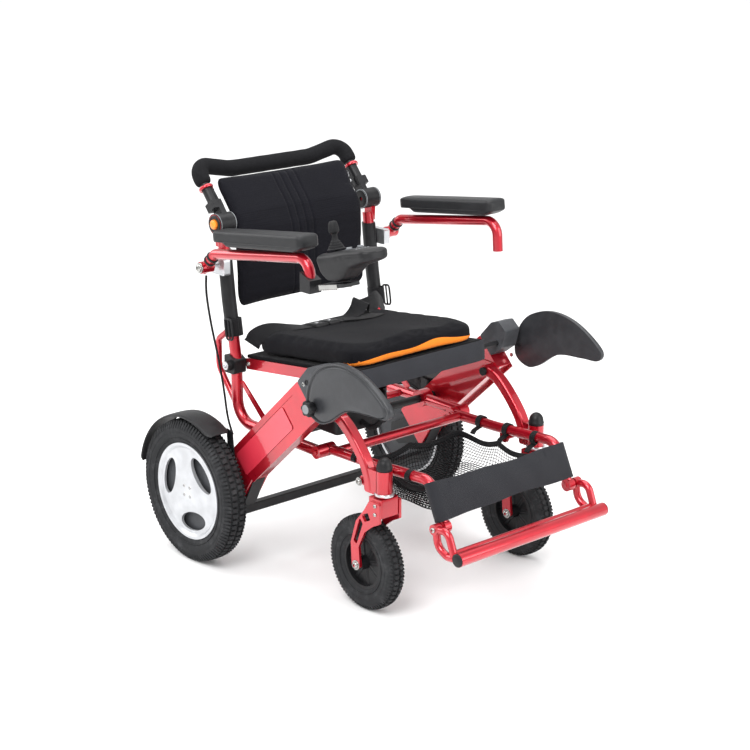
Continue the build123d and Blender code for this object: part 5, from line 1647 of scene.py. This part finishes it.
@dataclass
class Belts:
    """Lap belt halves, their loops and sliders, and the buckle on the cushion."""

    width: float = 0.038
    wall: float = 0.0016

    def ribbon(self, name: str, path: np.ndarray, across: np.ndarray, width: float = None,
               wall: float = None) -> bpy.types.Object:
        """A flat band with rounded edges: the path is its middle line, across its width direction at each
        point.
        """
        width, wall = width or self.width, wall or self.wall
        tangent = unit(np.gradient(path, axis=0))
        side = unit(across - (across * tangent).sum(-1, keepdims=True) * tangent)
        out = np.cross(side, tangent)
        profile = rounded_box_profile(width / 2, wall / 2, 8, 28)
        points = path[:, None] + profile[None, :, 0, None] * side[:,
                                                                  None] + profile[None, :, 1, None] * out[:, None]
        made = grid_piece(name, points, wrap_v=True, caps=True)
        length = np.concatenate([[0], np.cumsum(np.linalg.norm(np.diff(path, axis=0), axis=1))])
        box_uv(made, np.tile(profile[:, 0], len(path)), np.repeat(length, len(profile)))
        return made

    def post_loop(self, name: str, side: float) -> bpy.types.Object:
        """Webbing wrapped round the back post just above the seat, as a slightly oval ring."""
        a = np.linspace(0, tau, 60)
        centre = np.array([-0.2735, side * 0.205, 0.500])
        lean = np.array([-0.16, 0, 0.987])
        fore, out = np.array([0.987, 0, 0.16]), np.array([0, side, 0])
        r = 0.0183
        path = centre + (r * 1.04 * np.cos(a))[:, None] * fore + (r * 1.0 * np.sin(a))[:, None] * out
        return self.ribbon(f"belt_loop_{name}", path, np.broadcast_to(lean, path.shape), 0.038)

    def slider(self, name: str, side: float) -> bpy.types.Object:
        """Rounded-rectangle slider frame with a cross bar, on the outer side of the loop."""
        centre = np.array([-0.262, side * 0.2265, 0.500])
        lean, fore = np.array([-0.16, 0, 0.987]), np.array([0.987, 0, 0.16])
        a = np.linspace(0, tau, 48, endpoint=False)
        size = (np.abs(np.cos(a)) ** 5 + np.abs(np.sin(a)) ** 5) ** (-1 / 5)
        path = centre + (0.0115 * np.cos(a) * size)[:,
                                                    None] * fore + (0.0225 * np.sin(a) * size)[:, None] * lean
        frame = swept("frame", path, ring_profile(0.0022, 12), (0, 1, 0), closed=True)
        bar = np.array([centre - 0.0215 * lean, centre, centre + 0.0215 * lean])
        return merged(f"belt_slider_{name}",
                      [frame, swept("bar", resampled(bar, 0.004), ring_profile(0.0019, 12), (0, 1, 0))])

    def seat_run(self, name: str, stops: Sequence[tuple[float, float, float]],
                 stand: Sequence[float]) -> bpy.types.Object:
        """Webbing through stops of (along, y, up) in the tilted seat, millimetres.

        Args:
            name: The piece's name.
            stops: Points of its middle line.
            stand: At each stop, how far it stands on edge, from 0, lying flat, to 1, upright.
        """
        point = turned(JOINT["seat_fold"][0], JOINT["seat_fold"][2], 6.5)
        knots = []
        for along, y, up in stops:
            x, z = point(along, up)
            knots.append((x, y * MM, z))
        path = smooth_curve(knots, 90)
        tangent = unit(np.gradient(path, axis=0))
        t = radians(6.5)
        rise = np.array([-sin(t), 0, cos(t)])
        flat = unit(np.cross(np.broadcast_to(rise, path.shape), tangent))
        up = np.interp(np.linspace(0, 1, len(path)), np.linspace(0, 1, len(stand)), stand)[:, None]
        return self.ribbon(name, path, unit(flat * (1 - up) + rise * up), self.width)

    def buckle(self) -> list[bpy.types.Object]:
        """Side-release buckle: two moulded halves."""
        point = turned(JOINT["seat_fold"][0], JOINT["seat_fold"][2], 6.5)
        t = radians(6.5)
        rise, fore = np.array([-sin(t), 0, cos(t)]), np.array([cos(t), 0, sin(t)])
        made = []
        for y0, y1, wide in ((-0.066, -0.030, 0.0235), (-0.028, 0.004, 0.0225)):
            x, z = point(-262, 66.5)
            u = np.linspace(0, 1, 20)
            v = np.linspace(0, tau, 32, endpoint=False)
            size = (np.abs(np.cos(v)) ** 5 + np.abs(np.sin(v)) ** 5) ** (-1 / 5)
            end = np.sqrt(1 - (1 - np.clip(np.minimum(u, 1 - u) / 0.16, 0, 1)) ** 2.5)
            half = wide * (0.84 + 0.16 * end)
            tall = 0.0062 * (0.6 + 0.4 * end)
            points = (np.array([x, 0, z]) + (half[:, None] * (np.cos(v) * size)[None])[..., None] * fore
                      + (tall[:, None] * (np.sin(v) * size)[None])[..., None] * rise)
            points[..., 1] = (y0 + (y1 - y0) * u)[:, None]
            made.append(grid_piece("shell", points, wrap_v=True, caps=True))
        return made

    def build(self) -> None:
        """Make and place both halves and the buckle."""
        for name, side in SIDES:
            loop = place(self.post_loop(name, side), Finish.WEBBING, "back", "webbing")
            place(self.slider(name, side), Finish.BLACK_PLASTIC, "back", "black_plastic")
        near = self.seat_run("lap_belt_near",
                             [(-312, -190, 46), (-304, -180, 62), (-292, -150, 72), (-276, -108, 72),
                              (-264, -66, 68)],
                             [0.9, 0.8, 0.5, 0.2, 0.0])
        far = self.seat_run("lap_belt_far",
                            [(-262, 2, 67.5), (-256, 34, 70), (-252, 62, 84), (-258, 80, 100), (-272, 98, 84),
                                             (-280, 126, 82), (-292, 156, 88), (-304, 178, 72),
                             (-310, 190, 50)],
                            [0.0, 0.1, 0.4, 0.3, 0.5, 0.75, 0.8, 0.9, 0.9])
        tail = self.seat_run("lap_belt_tail",
                             [(-250, 20, 69.5), (-236, 44, 70.5), (-228, 74, 69.5), (-232, 104, 69)],
                             [0.0, 0.1, 0.1, 0.0])
        for piece, nodes, cut in ((near, ("lap_belt_right",), 0.150), (far, ("lap_belt_left",), 0.260),
                                  (tail, (), 0.110)):
            place(piece, Finish.WEBBING, "seat", "webbing", *nodes)
        place(merged("belt_buckle", self.buckle()), Finish.BLACK_PLASTIC, "seat", "black_plastic")
        # Two silver discs on the buckle stand for the glints of light on it: painted highlights.
        point = turned(JOINT["seat_fold"][0], JOINT["seat_fold"][2], 6.5)
        x, z = point(-262, 72.0)
        glints = [bolt((x, -0.047, z), (-sin(radians(6.5)), 0, cos(radians(6.5))), 0.0045, 0.0022),
                  bolt((x, -0.012, z), (-sin(radians(6.5)), 0, cos(radians(6.5))), 0.0040, 0.0020)]
        place(merged("buckle_painted_glints", glints), Finish.SILVER, "seat", "silver_alloy")


@dataclass
class CalfStrap:
    """Wide nylon strap across the front of the footrest legs, wrapped round both tubes."""

    low: float = 0.020
    high: float = 0.094
    tube_y: float = 0.178
    radius: float = 0.0131

    def frame_of(self) -> tuple[np.ndarray, np.ndarray, np.ndarray]:
        """Foot of the sloping run, with unit vectors up it and out of it, in the side plane."""
        a, b = np.array([0.360, 0, 0.214]), np.array([0.318, 0, 0.304])
        up = unit(b - a)
        return a, up, np.array([up[2], 0, -up[0]])

    def sheet(self) -> bpy.types.Object:
        """Band of the strap: it goes across the front, round each tube, and its edges wave slightly."""
        foot, up, out = self.frame_of()
        bend = np.linspace(0, pi * 0.92, 16)
        cross = np.linspace(-self.tube_y, self.tube_y, 90)
        left = np.stack([self.tube_y + self.radius * np.sin(bend), self.radius * np.cos(bend)], -1)
        front = np.stack([cross, np.full_like(cross, self.radius)], -1)
        right = np.stack([-left[::-1, 0], left[::-1, 1]], -1)
        line = np.concatenate([right, front[1:-1], left])
        t = np.linspace(0, 1, len(line))
        v = np.linspace(0, 1, 24)
        tt, vv = np.meshgrid(t, v, indexing="ij")
        middle = np.sin(np.clip((tt - 0.1) / 0.8, 0, 1) * pi)
        out_by = np.broadcast_to(line[:, 1, None],
                                 tt.shape) + 0.0028 * middle * np.sin(vv * pi) + 0.0008 * np.sin(tt * 34 + vv * 4) * middle
        y = np.broadcast_to(line[:, 0, None], tt.shape)
        along = self.low + (self.high - self.low) * vv + (0.0022 * np.sin(tt * 7 + 0.8)
                                                          + 0.0012 * np.sin(tt * 19)) * (vv - 0.5) * 2
        points = foot + along[..., None] * up + out_by[..., None] * out
        points[..., 1] = y
        length = np.concatenate([[0], np.cumsum(np.linalg.norm(np.diff(line, axis=0), axis=1))])
        made = grid_piece("calf_band", points,
                          uv=np.stack([np.broadcast_to(length[:, None], tt.shape),
                                       vv * (self.high - self.low)], -1))
        thick = made.modifiers.new("wall", "SOLIDIFY")
        thick.thickness, thick.offset = 0.0022, 1.0
        soften(made, 0.0008, 2, 60)
        return made

    def stitches(self) -> bpy.types.Object:
        """Rows of stitches: short threads down both ends of the strap."""
        foot, up, out = self.frame_of()
        made = []
        lift = self.radius + 0.0030
        for y in (-0.150, -0.146, 0.122, 0.126):
            for v in np.arange(self.low + 0.004, self.high - 0.004, 0.0042):
                ends = [foot + (v + d) * up + lift * out + np.array([0, y, 0]) for d in (0, 0.0026)]
                made.append(swept("thread", np.array(ends), ring_profile(0.00045, 5), (0, 1, 0)))
        return merged("calf_stitches", made)

    def build(self) -> None:
        """Make and place the strap."""
        band = place(self.sheet(), Finish.STRAP_WEBBING, "lower_frame", "webbing", "calf_strap")
        place(self.stitches(), Finish.THREAD, "lower_frame", "webbing")


@dataclass
class NetBasket:
    """Hanging net basket with a bound rim, tied to the lower tubes."""

    x0: float = 0.064
    x1: float = 0.298
    half: float = 0.148
    top: float = 0.275
    floor: float = 0.212
    cells: tuple[int, int] = (40, 47)
    share: float = 0.64
    cord: float = 0.00085

    def rim(self, count: int = 300) -> np.ndarray:
        """Closed rim outline, a superellipse, whose height scallops between the loops."""
        a = np.linspace(0, tau, count, endpoint=False)
        size = (np.abs(np.cos(a)) ** 7 + np.abs(np.sin(a)) ** 7) ** (-1 / 7)
        x = (self.x0 + self.x1) / 2 + (self.x1 - self.x0) / 2 * np.cos(a) * size
        y = self.half * np.sin(a) * size
        z = self.top - 0.003 - 0.012 * np.abs(np.sin(a * 4))
        return np.stack([x, y, z], -1)

    def net(self) -> bpy.types.Object:
        """Square netting: with m the larger of |s| and |t| on a square sheet, the floor is m up to a
        share, the walls the rest.
        """
        s, t = np.meshgrid(np.linspace(-1, 1, self.cells[0]), np.linspace(-1, 1, self.cells[1]),
                           indexing="ij")
        m = np.maximum(np.abs(s), np.abs(t))
        a = np.arctan2(t, s)
        size = (np.abs(np.cos(a)) ** 7 + np.abs(np.sin(a)) ** 7) ** (-1 / 7)
        wall = np.clip((m - self.share) / (1 - self.share), 0, 1)
        reach = np.where(m < self.share, 0.90 * m / self.share, 0.90 + 0.10 * wall)
        rim = self.top - 0.003 - 0.012 * np.abs(np.sin(a * 4))
        sag = self.floor + 0.004 * (m / self.share).clip(0, 1) ** 2 + 0.0015 * np.sin(s * 9) * np.sin(t * 7)
        z = sag + (rim - sag) * wall ** 0.9
        x = (self.x0 + self.x1) / 2 + (self.x1 - self.x0) / 2 * np.cos(a) * size * reach
        y = self.half * np.sin(a) * size * reach
        made = grid_piece("net_bag", np.stack([x, y, z], -1))
        wire = made.modifiers.new("net", "WIREFRAME")
        wire.thickness, wire.use_even_offset, wire.use_replace = self.cord * 2, False, True
        return made

    def binding(self) -> bpy.types.Object:
        """Folded tape sewn round the rim: a flat band with rounded edges."""
        path = self.rim(320)
        return swept("net_binding", path, rounded_box_profile(0.0020, 0.0058, 5, 20), (0, 0, 1), closed=True)

    def loops(self) -> bpy.types.Object:
        """Fabric loops that hang the basket from the lower frame's side and cross tubes."""
        made = []
        for side in (-1, 1):
            for x in (0.100, 0.180, 0.262):
                z = 0.2912 + (x - 0.011) * 0.028
                a = np.linspace(-pi * 0.10, pi * 1.35, 28)
                ring = np.stack([np.full_like(a, x), side * (0.178 + 0.0132 * np.cos(a)),
                                 z + 0.0132 * np.sin(a)], -1)
                tail = np.array([(x, side * 0.150, 0.272), (x, side * 0.156, 0.279)])
                path = resampled(np.concatenate([tail, ring]), 0.003)
                side_axis = np.broadcast_to(np.array([1.0, 0, 0]), path.shape)
                made.append(Belts().ribbon("loop", path, side_axis, 0.014, 0.0018))
        return merged("net_loops", made)

    def build(self) -> None:
        """Make and place the basket."""
        net = place(self.net(), Finish.NET, "lower_frame", "net", "basket")
        place(self.binding(), Finish.WEBBING, "lower_frame", "webbing")
        place(self.loops(), Finish.WEBBING, "lower_frame", "webbing")


@dataclass
class KneeGuards:
    """Leaf-shaped knee guards with a raised rim and groove, and their star knobs."""

    thickness: float = 0.014
    y: float = 0.297

    def outline(self, side_pin: np.ndarray) -> np.ndarray:
        """The leaf's closed outline in the side plane, as a smooth curve through its corners."""
        offsets = [(-26, -8), (-20, 44), (14, 86), (78, 106), (150, 94), (218, 52), (216, 26), (170, 22),
                   (100, 14), (40, -24), (6, -30)]
        knots = [(side_pin[0] + x * MM, 0.0, side_pin[2] + z * MM) for x, z in offsets]
        return smooth_curve(knots, 150, closed=True)[:, [0, 2]]

    def leaf(self, name: str, side: float) -> bpy.types.Object:
        """Plate on a ring grid: from the centre out, a shallow dome, a groove and a rim that rolls over
        the edge.
        """
        pin = JOINT[f"knee_guard_{name}_tilt"]
        edge = self.outline(pin)
        centre = edge.mean(0)
        share = np.array([0.02, 0.20, 0.40, 0.60, 0.74, 0.84, 0.880, 0.893, 0.905, 0.918, 0.931, 0.943,
                          0.960, 0.978, 0.990, 0.998, 1.0])
        rise = np.array([0.0009, 0.0009, 0.0008, 0.0005, 0.0002, 0.0, -0.0001, -0.0012, -0.0026, -0.0026,
                         -0.0012, 0.0002, 0.0004, 0.0001, -0.0011, -0.0028, -0.0055])
        half = self.thickness / 2 - 0.0010
        rings = np.concatenate([share, share[::-1]])
        height = np.concatenate([half + rise, -(half + np.where(rise < -0.003, rise, 0.0))[::-1]])
        flat = centre + (edge - centre)[None] * (rings[:, None, None] * 0.994)
        points = np.stack([flat[..., 0],
                           np.broadcast_to((side * self.y + side * height)[:, None], flat.shape[:2]),
                           flat[..., 1]], -1)
        return grid_piece(f"guard_leaf_{name}", points, wrap_v=True, caps=True)

    def knob(self, name: str, side: float) -> None:
        """Star knob with six rounded lobes, a pale cap and a short neck."""
        pin = JOINT[f"knee_guard_{name}_tilt"]
        base = self.y + self.thickness / 2 + 0.0006
        a = np.linspace(0, tau, 96, endpoint=False)
        lobes = 0.0152 + 0.0017 * np.cos(6 * a)
        levels = np.array([0.0, 0.0002, 0.004, 0.0046, 0.0066, 0.015, 0.0184, 0.0196, 0.0198, 0.0198])
        shrink = np.array([0.02, 0.66, 0.66, 0.92, 1.0, 1.0, 0.95, 0.86, 0.70, 0.02])
        r = lobes[None] * shrink[:, None]
        x = pin[0] + r * np.cos(a)
        z = pin[2] + r * np.sin(a)
        y = np.broadcast_to((side * (base + levels))[:, None], x.shape)
        star = grid_piece(f"star_knob_{name}", np.stack([x, y, z], -1), wrap_v=True, caps=True)
        place(star, Finish.BLACK_PLASTIC, f"guard_knob_{name}", "black_plastic", f"guard_knob_{name}")
        cap = [(0.0, 0.0), (0.0, 0.0096), (0.0007, 0.0094), (0.0010, 0.0082), (0.0006, 0.0070),
               (0.0008, 0.0), ]
        place(lathe(f"knob_cap_{name}", cap, (pin[0], side * (base + 0.0196), pin[2]), (0, side, 0), 40),
              Finish.PALE_PLASTIC, f"guard_knob_{name}", "grey_plastic")

    def build(self) -> None:
        """Make both guards."""
        for name, side in SIDES:
            place(self.leaf(name, side), Finish.SHELL_PLASTIC, f"knee_guard_{name}", "grey_plastic",
                  f"knee_guard_{name}")
            self.knob(name, side)


@dataclass
class SideArms:
    """Moulded end caps, screws, and a painted highlight on the box arms: a lighter, pinker red panel over each
    arm's face.
    """

    slope: float = 42.3
    x: float = -112.0
    z: float = 276.0

    def point(self, along: float, up: float) -> np.ndarray:
        """Point of the side plane in metres from millimetres along and square to the arm."""
        c, s = cos(radians(self.slope)), sin(radians(self.slope))
        return np.array([(self.x + along * c - up * s) * MM, (self.z + along * s + up * c) * MM])

    def screws(self, name: str, side: float) -> None:
        """Cap screws, four screws on the arm's face, and a lighter red panel over the face as a painted
        highlight.
        """
        low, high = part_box(f"box_arm_{name}")
        face = (high.y if side > 0 else low.y)
        made = []
        for along, up in ((246, 26), (246, -26)):
            p = self.point(along, up)
            cap_low, cap_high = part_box("arm_end_caps")
            cap_face = cap_high.y if side > 0 else cap_low.y
            made.append(bolt((p[0], cap_face - side * 0.0012, p[1]), (0, side, 0), 0.0046, 0.0026))
        for along, up in ((-122, 14), (-122, -14), (-96, 30), (-96, -30)):
            p = self.point(along, up)
            made.append(bolt((p[0], face, p[1]), (0, side, 0), 0.0042, 0.0024))
        place(merged(f"arm_screws_{name}", made), Finish.ZINC, "chassis", "silver_alloy")
        # Painted highlight: a lighter, pinker red panel over the arm's face, where the clear coat reflects the
        # light.
        corners = [self.point(along, up) for along,
                   up in ((-58, -26), (148, -26), (152, -22), (152, 22), (148, 26), (-58, 26), (-62, 22),
                          (-62, -22))]
        inset = prism(f"arm_painted_sheen_{name}", corners, face - side * 0.0004, face + side * 0.0005, 0.0002, 1)
        place(inset, Finish.RED_PAINTED_SHEEN, "chassis", "red_paint")

    def caps(self) -> bpy.types.Object:
        """Lips round two round holes in each end cap."""
        _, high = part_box("arm_end_caps")
        made = []
        for side in (-1, 1):
            y = side * (abs(high.y) + 0.0002)
            for along in (258, 280):
                p = self.point(along, 24 if along == 258 else -20)
                ring = [(0, 0.0), (0, 0.0052), (0.0008, 0.0056), (0.0012, 0.0050), (0.0009, 0.0042),
                        (-0.0002, 0.0040), (-0.0002, 0.0)]
                made.append(lathe("hole_lip", ring, (p[0], y, p[1]), (0, side, 0), 28))
        return merged("cap_hole_lips", made)

    def build(self) -> None:
        """Make the hardware."""
        for name, side in SIDES:
            self.screws(name, side)
        place(self.caps(), Finish.BLACK_PLASTIC, "chassis", "black_plastic")


@dataclass
class Mudguards:
    """Crowned mudguards with rolled edges over the drive wheels."""

    inner: float = 0.1662
    half: float = 0.0295

    def build(self) -> None:
        """Sweep a crowned section from a flared front tip over the wheel to the rear."""
        made = []
        for name, side in SIDES:
            centre = np.array([-0.273, side * 0.317, 0.1575])
            a = np.radians(np.linspace(58, 171, 110))
            t = np.linspace(0, 1, len(a))
            v = np.linspace(-1, 1, 25)
            crown = 0.0016 * (1 - v ** 2) - 0.0022 * np.clip((np.abs(v) - 0.86) / 0.14, 0, 1) ** 2
            flare = 0.0030 * np.clip((0.07 - t) / 0.07, 0, 1) ** 2
            taper = self.half * (1 - 0.30 * np.clip((0.05 - t) / 0.05, 0, 1) ** 2
                                 - 0.25 * np.clip((t - 0.95) / 0.05, 0, 1) ** 2)
            r = self.inner + 0.0022 + crown[None] + flare[:, None]
            x = centre[0] + r * np.cos(a)[:, None]
            z = centre[2] + r * np.sin(a)[:, None]
            y = centre[1] + taper[:, None] * v[None]
            wing = grid_piece("wing", np.stack([x, y, z], -1))
            thick = wing.modifiers.new("wall", "SOLIDIFY")
            thick.thickness, thick.offset = 0.0020, 0.0
            soften(wing, 0.0006, 2, 50)
            made.append(applied(wing))
            for edge in (-1, 1):
                ridge = np.stack([x[:, 12 + 7 * edge], y[:, 12 + 7 * edge], z[:, 12 + 7 * edge]], -1)
                made.append(swept("rib", ridge[4:-4], ring_profile(0.0011, 8), (0, 1, 0),
                                  rounded_ends(len(ridge) - 8, 4, 0.4)))
            arm = SideArms()
            stay = [(-0.273 + 0.1585 * cos(1.082) * 1.06 - 0.010, 0.1575 + 0.1585 * sin(1.082) * 1.055),
                    (-0.273 + 0.1585 * cos(1.082) * 1.06 + 0.010, 0.1575 + 0.1585 * sin(1.082) * 1.03),
                    arm.point(-78, 11), arm.point(-106, 11)]
            plate_y = side * 0.2818
            made.append(prism("stay", stay, plate_y - 0.0014, plate_y + 0.0014, 0.0006, 2))
            for along in (-84, -98):
                p = arm.point(along, 18)
                made.append(bolt((p[0], plate_y + side * 0.0014, p[1]), (0, side, 0), 0.0038, 0.0022))
        place(merged("crowned_mudguards", made), Finish.BLACK_PLASTIC, "chassis", "black_plastic",
              "mudguards")


@dataclass
class FrameDetails:
    """Small hardware on the frames: clamp covers, screws, plugs, conduit and the control lead."""

    def clamps(self) -> None:
        """Oval cover plates with a screw on each rail clamp."""
        low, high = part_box("rail_clamps")
        for name, side in SIDES:
            y = (high.y if side > 0 else low.y)
            at = np.array([-0.266, y, 0.420])
            plates = [washer((at[0], y - side * 0.0008, at[2]), (0, side, 0), 0.0092, 0.0022),
                      bolt((at[0], y + side * 0.0012, at[2]), (0, side, 0), 0.0052, 0.0034)]
            place(merged(f"clamp_cover_{name}", plates), Finish.SILVER, "back", "silver_alloy")

    def leg_grooves(self) -> None:
        """Pivot screws with washers on the outer face of each front leg, at the top and at the tie."""
        for name, side in SIDES:
            screws = []
            for x, z in ((0.074, 0.396), (0.170, 0.276)):
                reach = 0.2215 + 0.0135
                screws.append(washer((x, side * reach, z), (0, side, 0), 0.0088, 0.0016))
                screws.append(bolt((x, side * (reach + 0.0012), z), (0, side, 0), 0.0064, 0.0044))
            place(merged(f"leg_pivot_screws_{name}", screws), Finish.ZINC, f"leg_{name}", "silver_alloy")

    def footrest_plugs(self) -> None:
        """Domed black end plugs in the footrest's front tube and small pivot screws at its hinges."""
        made = []
        for side in (-1, 1):
            dome = [(0.0, 0.0), (0.0, 0.0126), (0.0012, 0.0136), (0.0026, 0.0133), (0.0042, 0.0114),
                    (0.0052, 0.0078), (0.0056, 0.0)]
            made.append(lathe("plug", dome, (0.4275, side * 0.2082, 0.178), (0, side, 0), 36))
        place(merged("footrest_plugs", made), Finish.BLACK_PLASTIC, "footrest", "black_plastic")
        pins = []
        hinge = JOINT["footrest_flip"]
        for side in (-1, 1):
            pins.append(bolt((hinge[0], side * 0.2088, hinge[2]), (0, side, 0), 0.0058, 0.0040))
        place(merged("footrest_pivot_screws", pins), Finish.ZINC, "footrest", "silver_alloy")

    def conduit(self) -> None:
        """Corrugated black hose from the power unit forward under the seat."""
        stops = [(0.020, -0.062, 0.392), (0.050, -0.070, 0.404), (0.078, -0.086, 0.404),
                 (0.092, -0.098, 0.384), (0.086, -0.104, 0.352), (0.060, -0.106, 0.334),
                 (0.026, -0.102, 0.338)]
        path = resampled(smooth_curve(stops, 200), 0.0009)
        ribs = 1 + 0.10 * np.sin(np.arange(len(path)) * 0.0009 * tau / 0.0036)
        place(swept("power_conduit", path, ring_profile(0.0055, 16), (0, 1, 0), ribs), Finish.RUBBER,
              "chassis", "rubber")

    def cable(self) -> None:
        """Control cable as a round-bevelled curve through the points of its route."""
        y = -0.2235
        stops = [(-0.312, -0.022, 0.612), (-0.318, -0.020, 0.585), (-0.322, -0.012, 0.540),
                 (-0.318, -0.006, 0.490), (-0.304, -0.004, 0.440),
                 (-0.292, -0.003, 0.392), (-0.284, -0.002, 0.350), (-0.279, -0.002, 0.318),
                 (-0.268, -0.004, 0.288), (-0.250, -0.008, 0.268)]
        curve = bpy.data.curves.new("control_lead", "CURVE")
        curve.dimensions, curve.bevel_depth, curve.bevel_resolution, curve.resolution_u = "3D", 0.0025, 6, 16
        curve.use_fill_caps = True
        spline = curve.splines.new("NURBS")
        spline.points.add(len(stops) - 1)
        for point, (x, dy, z) in zip(spline.points, stops):
            point.co = (x, y + dy, z, 1.0)
        spline.order_u, spline.use_endpoint_u = 3, True
        lead = bpy.data.objects.new("control_lead", curve)
        bpy.context.scene.collection.objects.link(lead)
        place(lead, Finish.RUBBER, "back", "rubber", "control_cable")

    def build(self) -> None:
        """Make and place all of them."""
        self.clamps()
        self.leg_grooves()
        self.footrest_plugs()
        self.conduit()
        self.cable()


def main() -> None:
    """Build every sub-assembly in order."""
    logging.basicConfig(level=logging.INFO, format="%(message)s")
    Studio().build()
    for row in frame["record"]["subparts"]:
        dress(row["node"], SLOT_FINISH[row["material_slot"]])
    for assembly in (Wheels(), Seat(), Backrest(), HandleAndHinges(), Armrests(), Controller(), Belts(),
                     CalfStrap(),
                     NetBasket(), KneeGuards(), SideArms(), Mudguards(), FrameDetails()):
        assembly.build()


SLOT_FINISH = {
    "red_paint": Finish.RED, "grey_plastic": Finish.GREY_PLASTIC, "black_steel": Finish.BLACK_STEEL,
    "black_plastic": Finish.BLACK_PLASTIC, "tyre": Finish.TYRE, "silver_alloy": Finish.SILVER,
    "rubber": Finish.RUBBER, "orange_plastic": Finish.ORANGE, "soft_touch": Finish.SKIN,
    "grey_buttons": Finish.PALE_PLASTIC, "black_fabric": Finish.SEAT_CLOTH, "webbing": Finish.WEBBING,
    "grey_panel": Finish.PANEL_CLOTH, "net": Finish.NET,
}

if __name__ == "__main__":
    main()
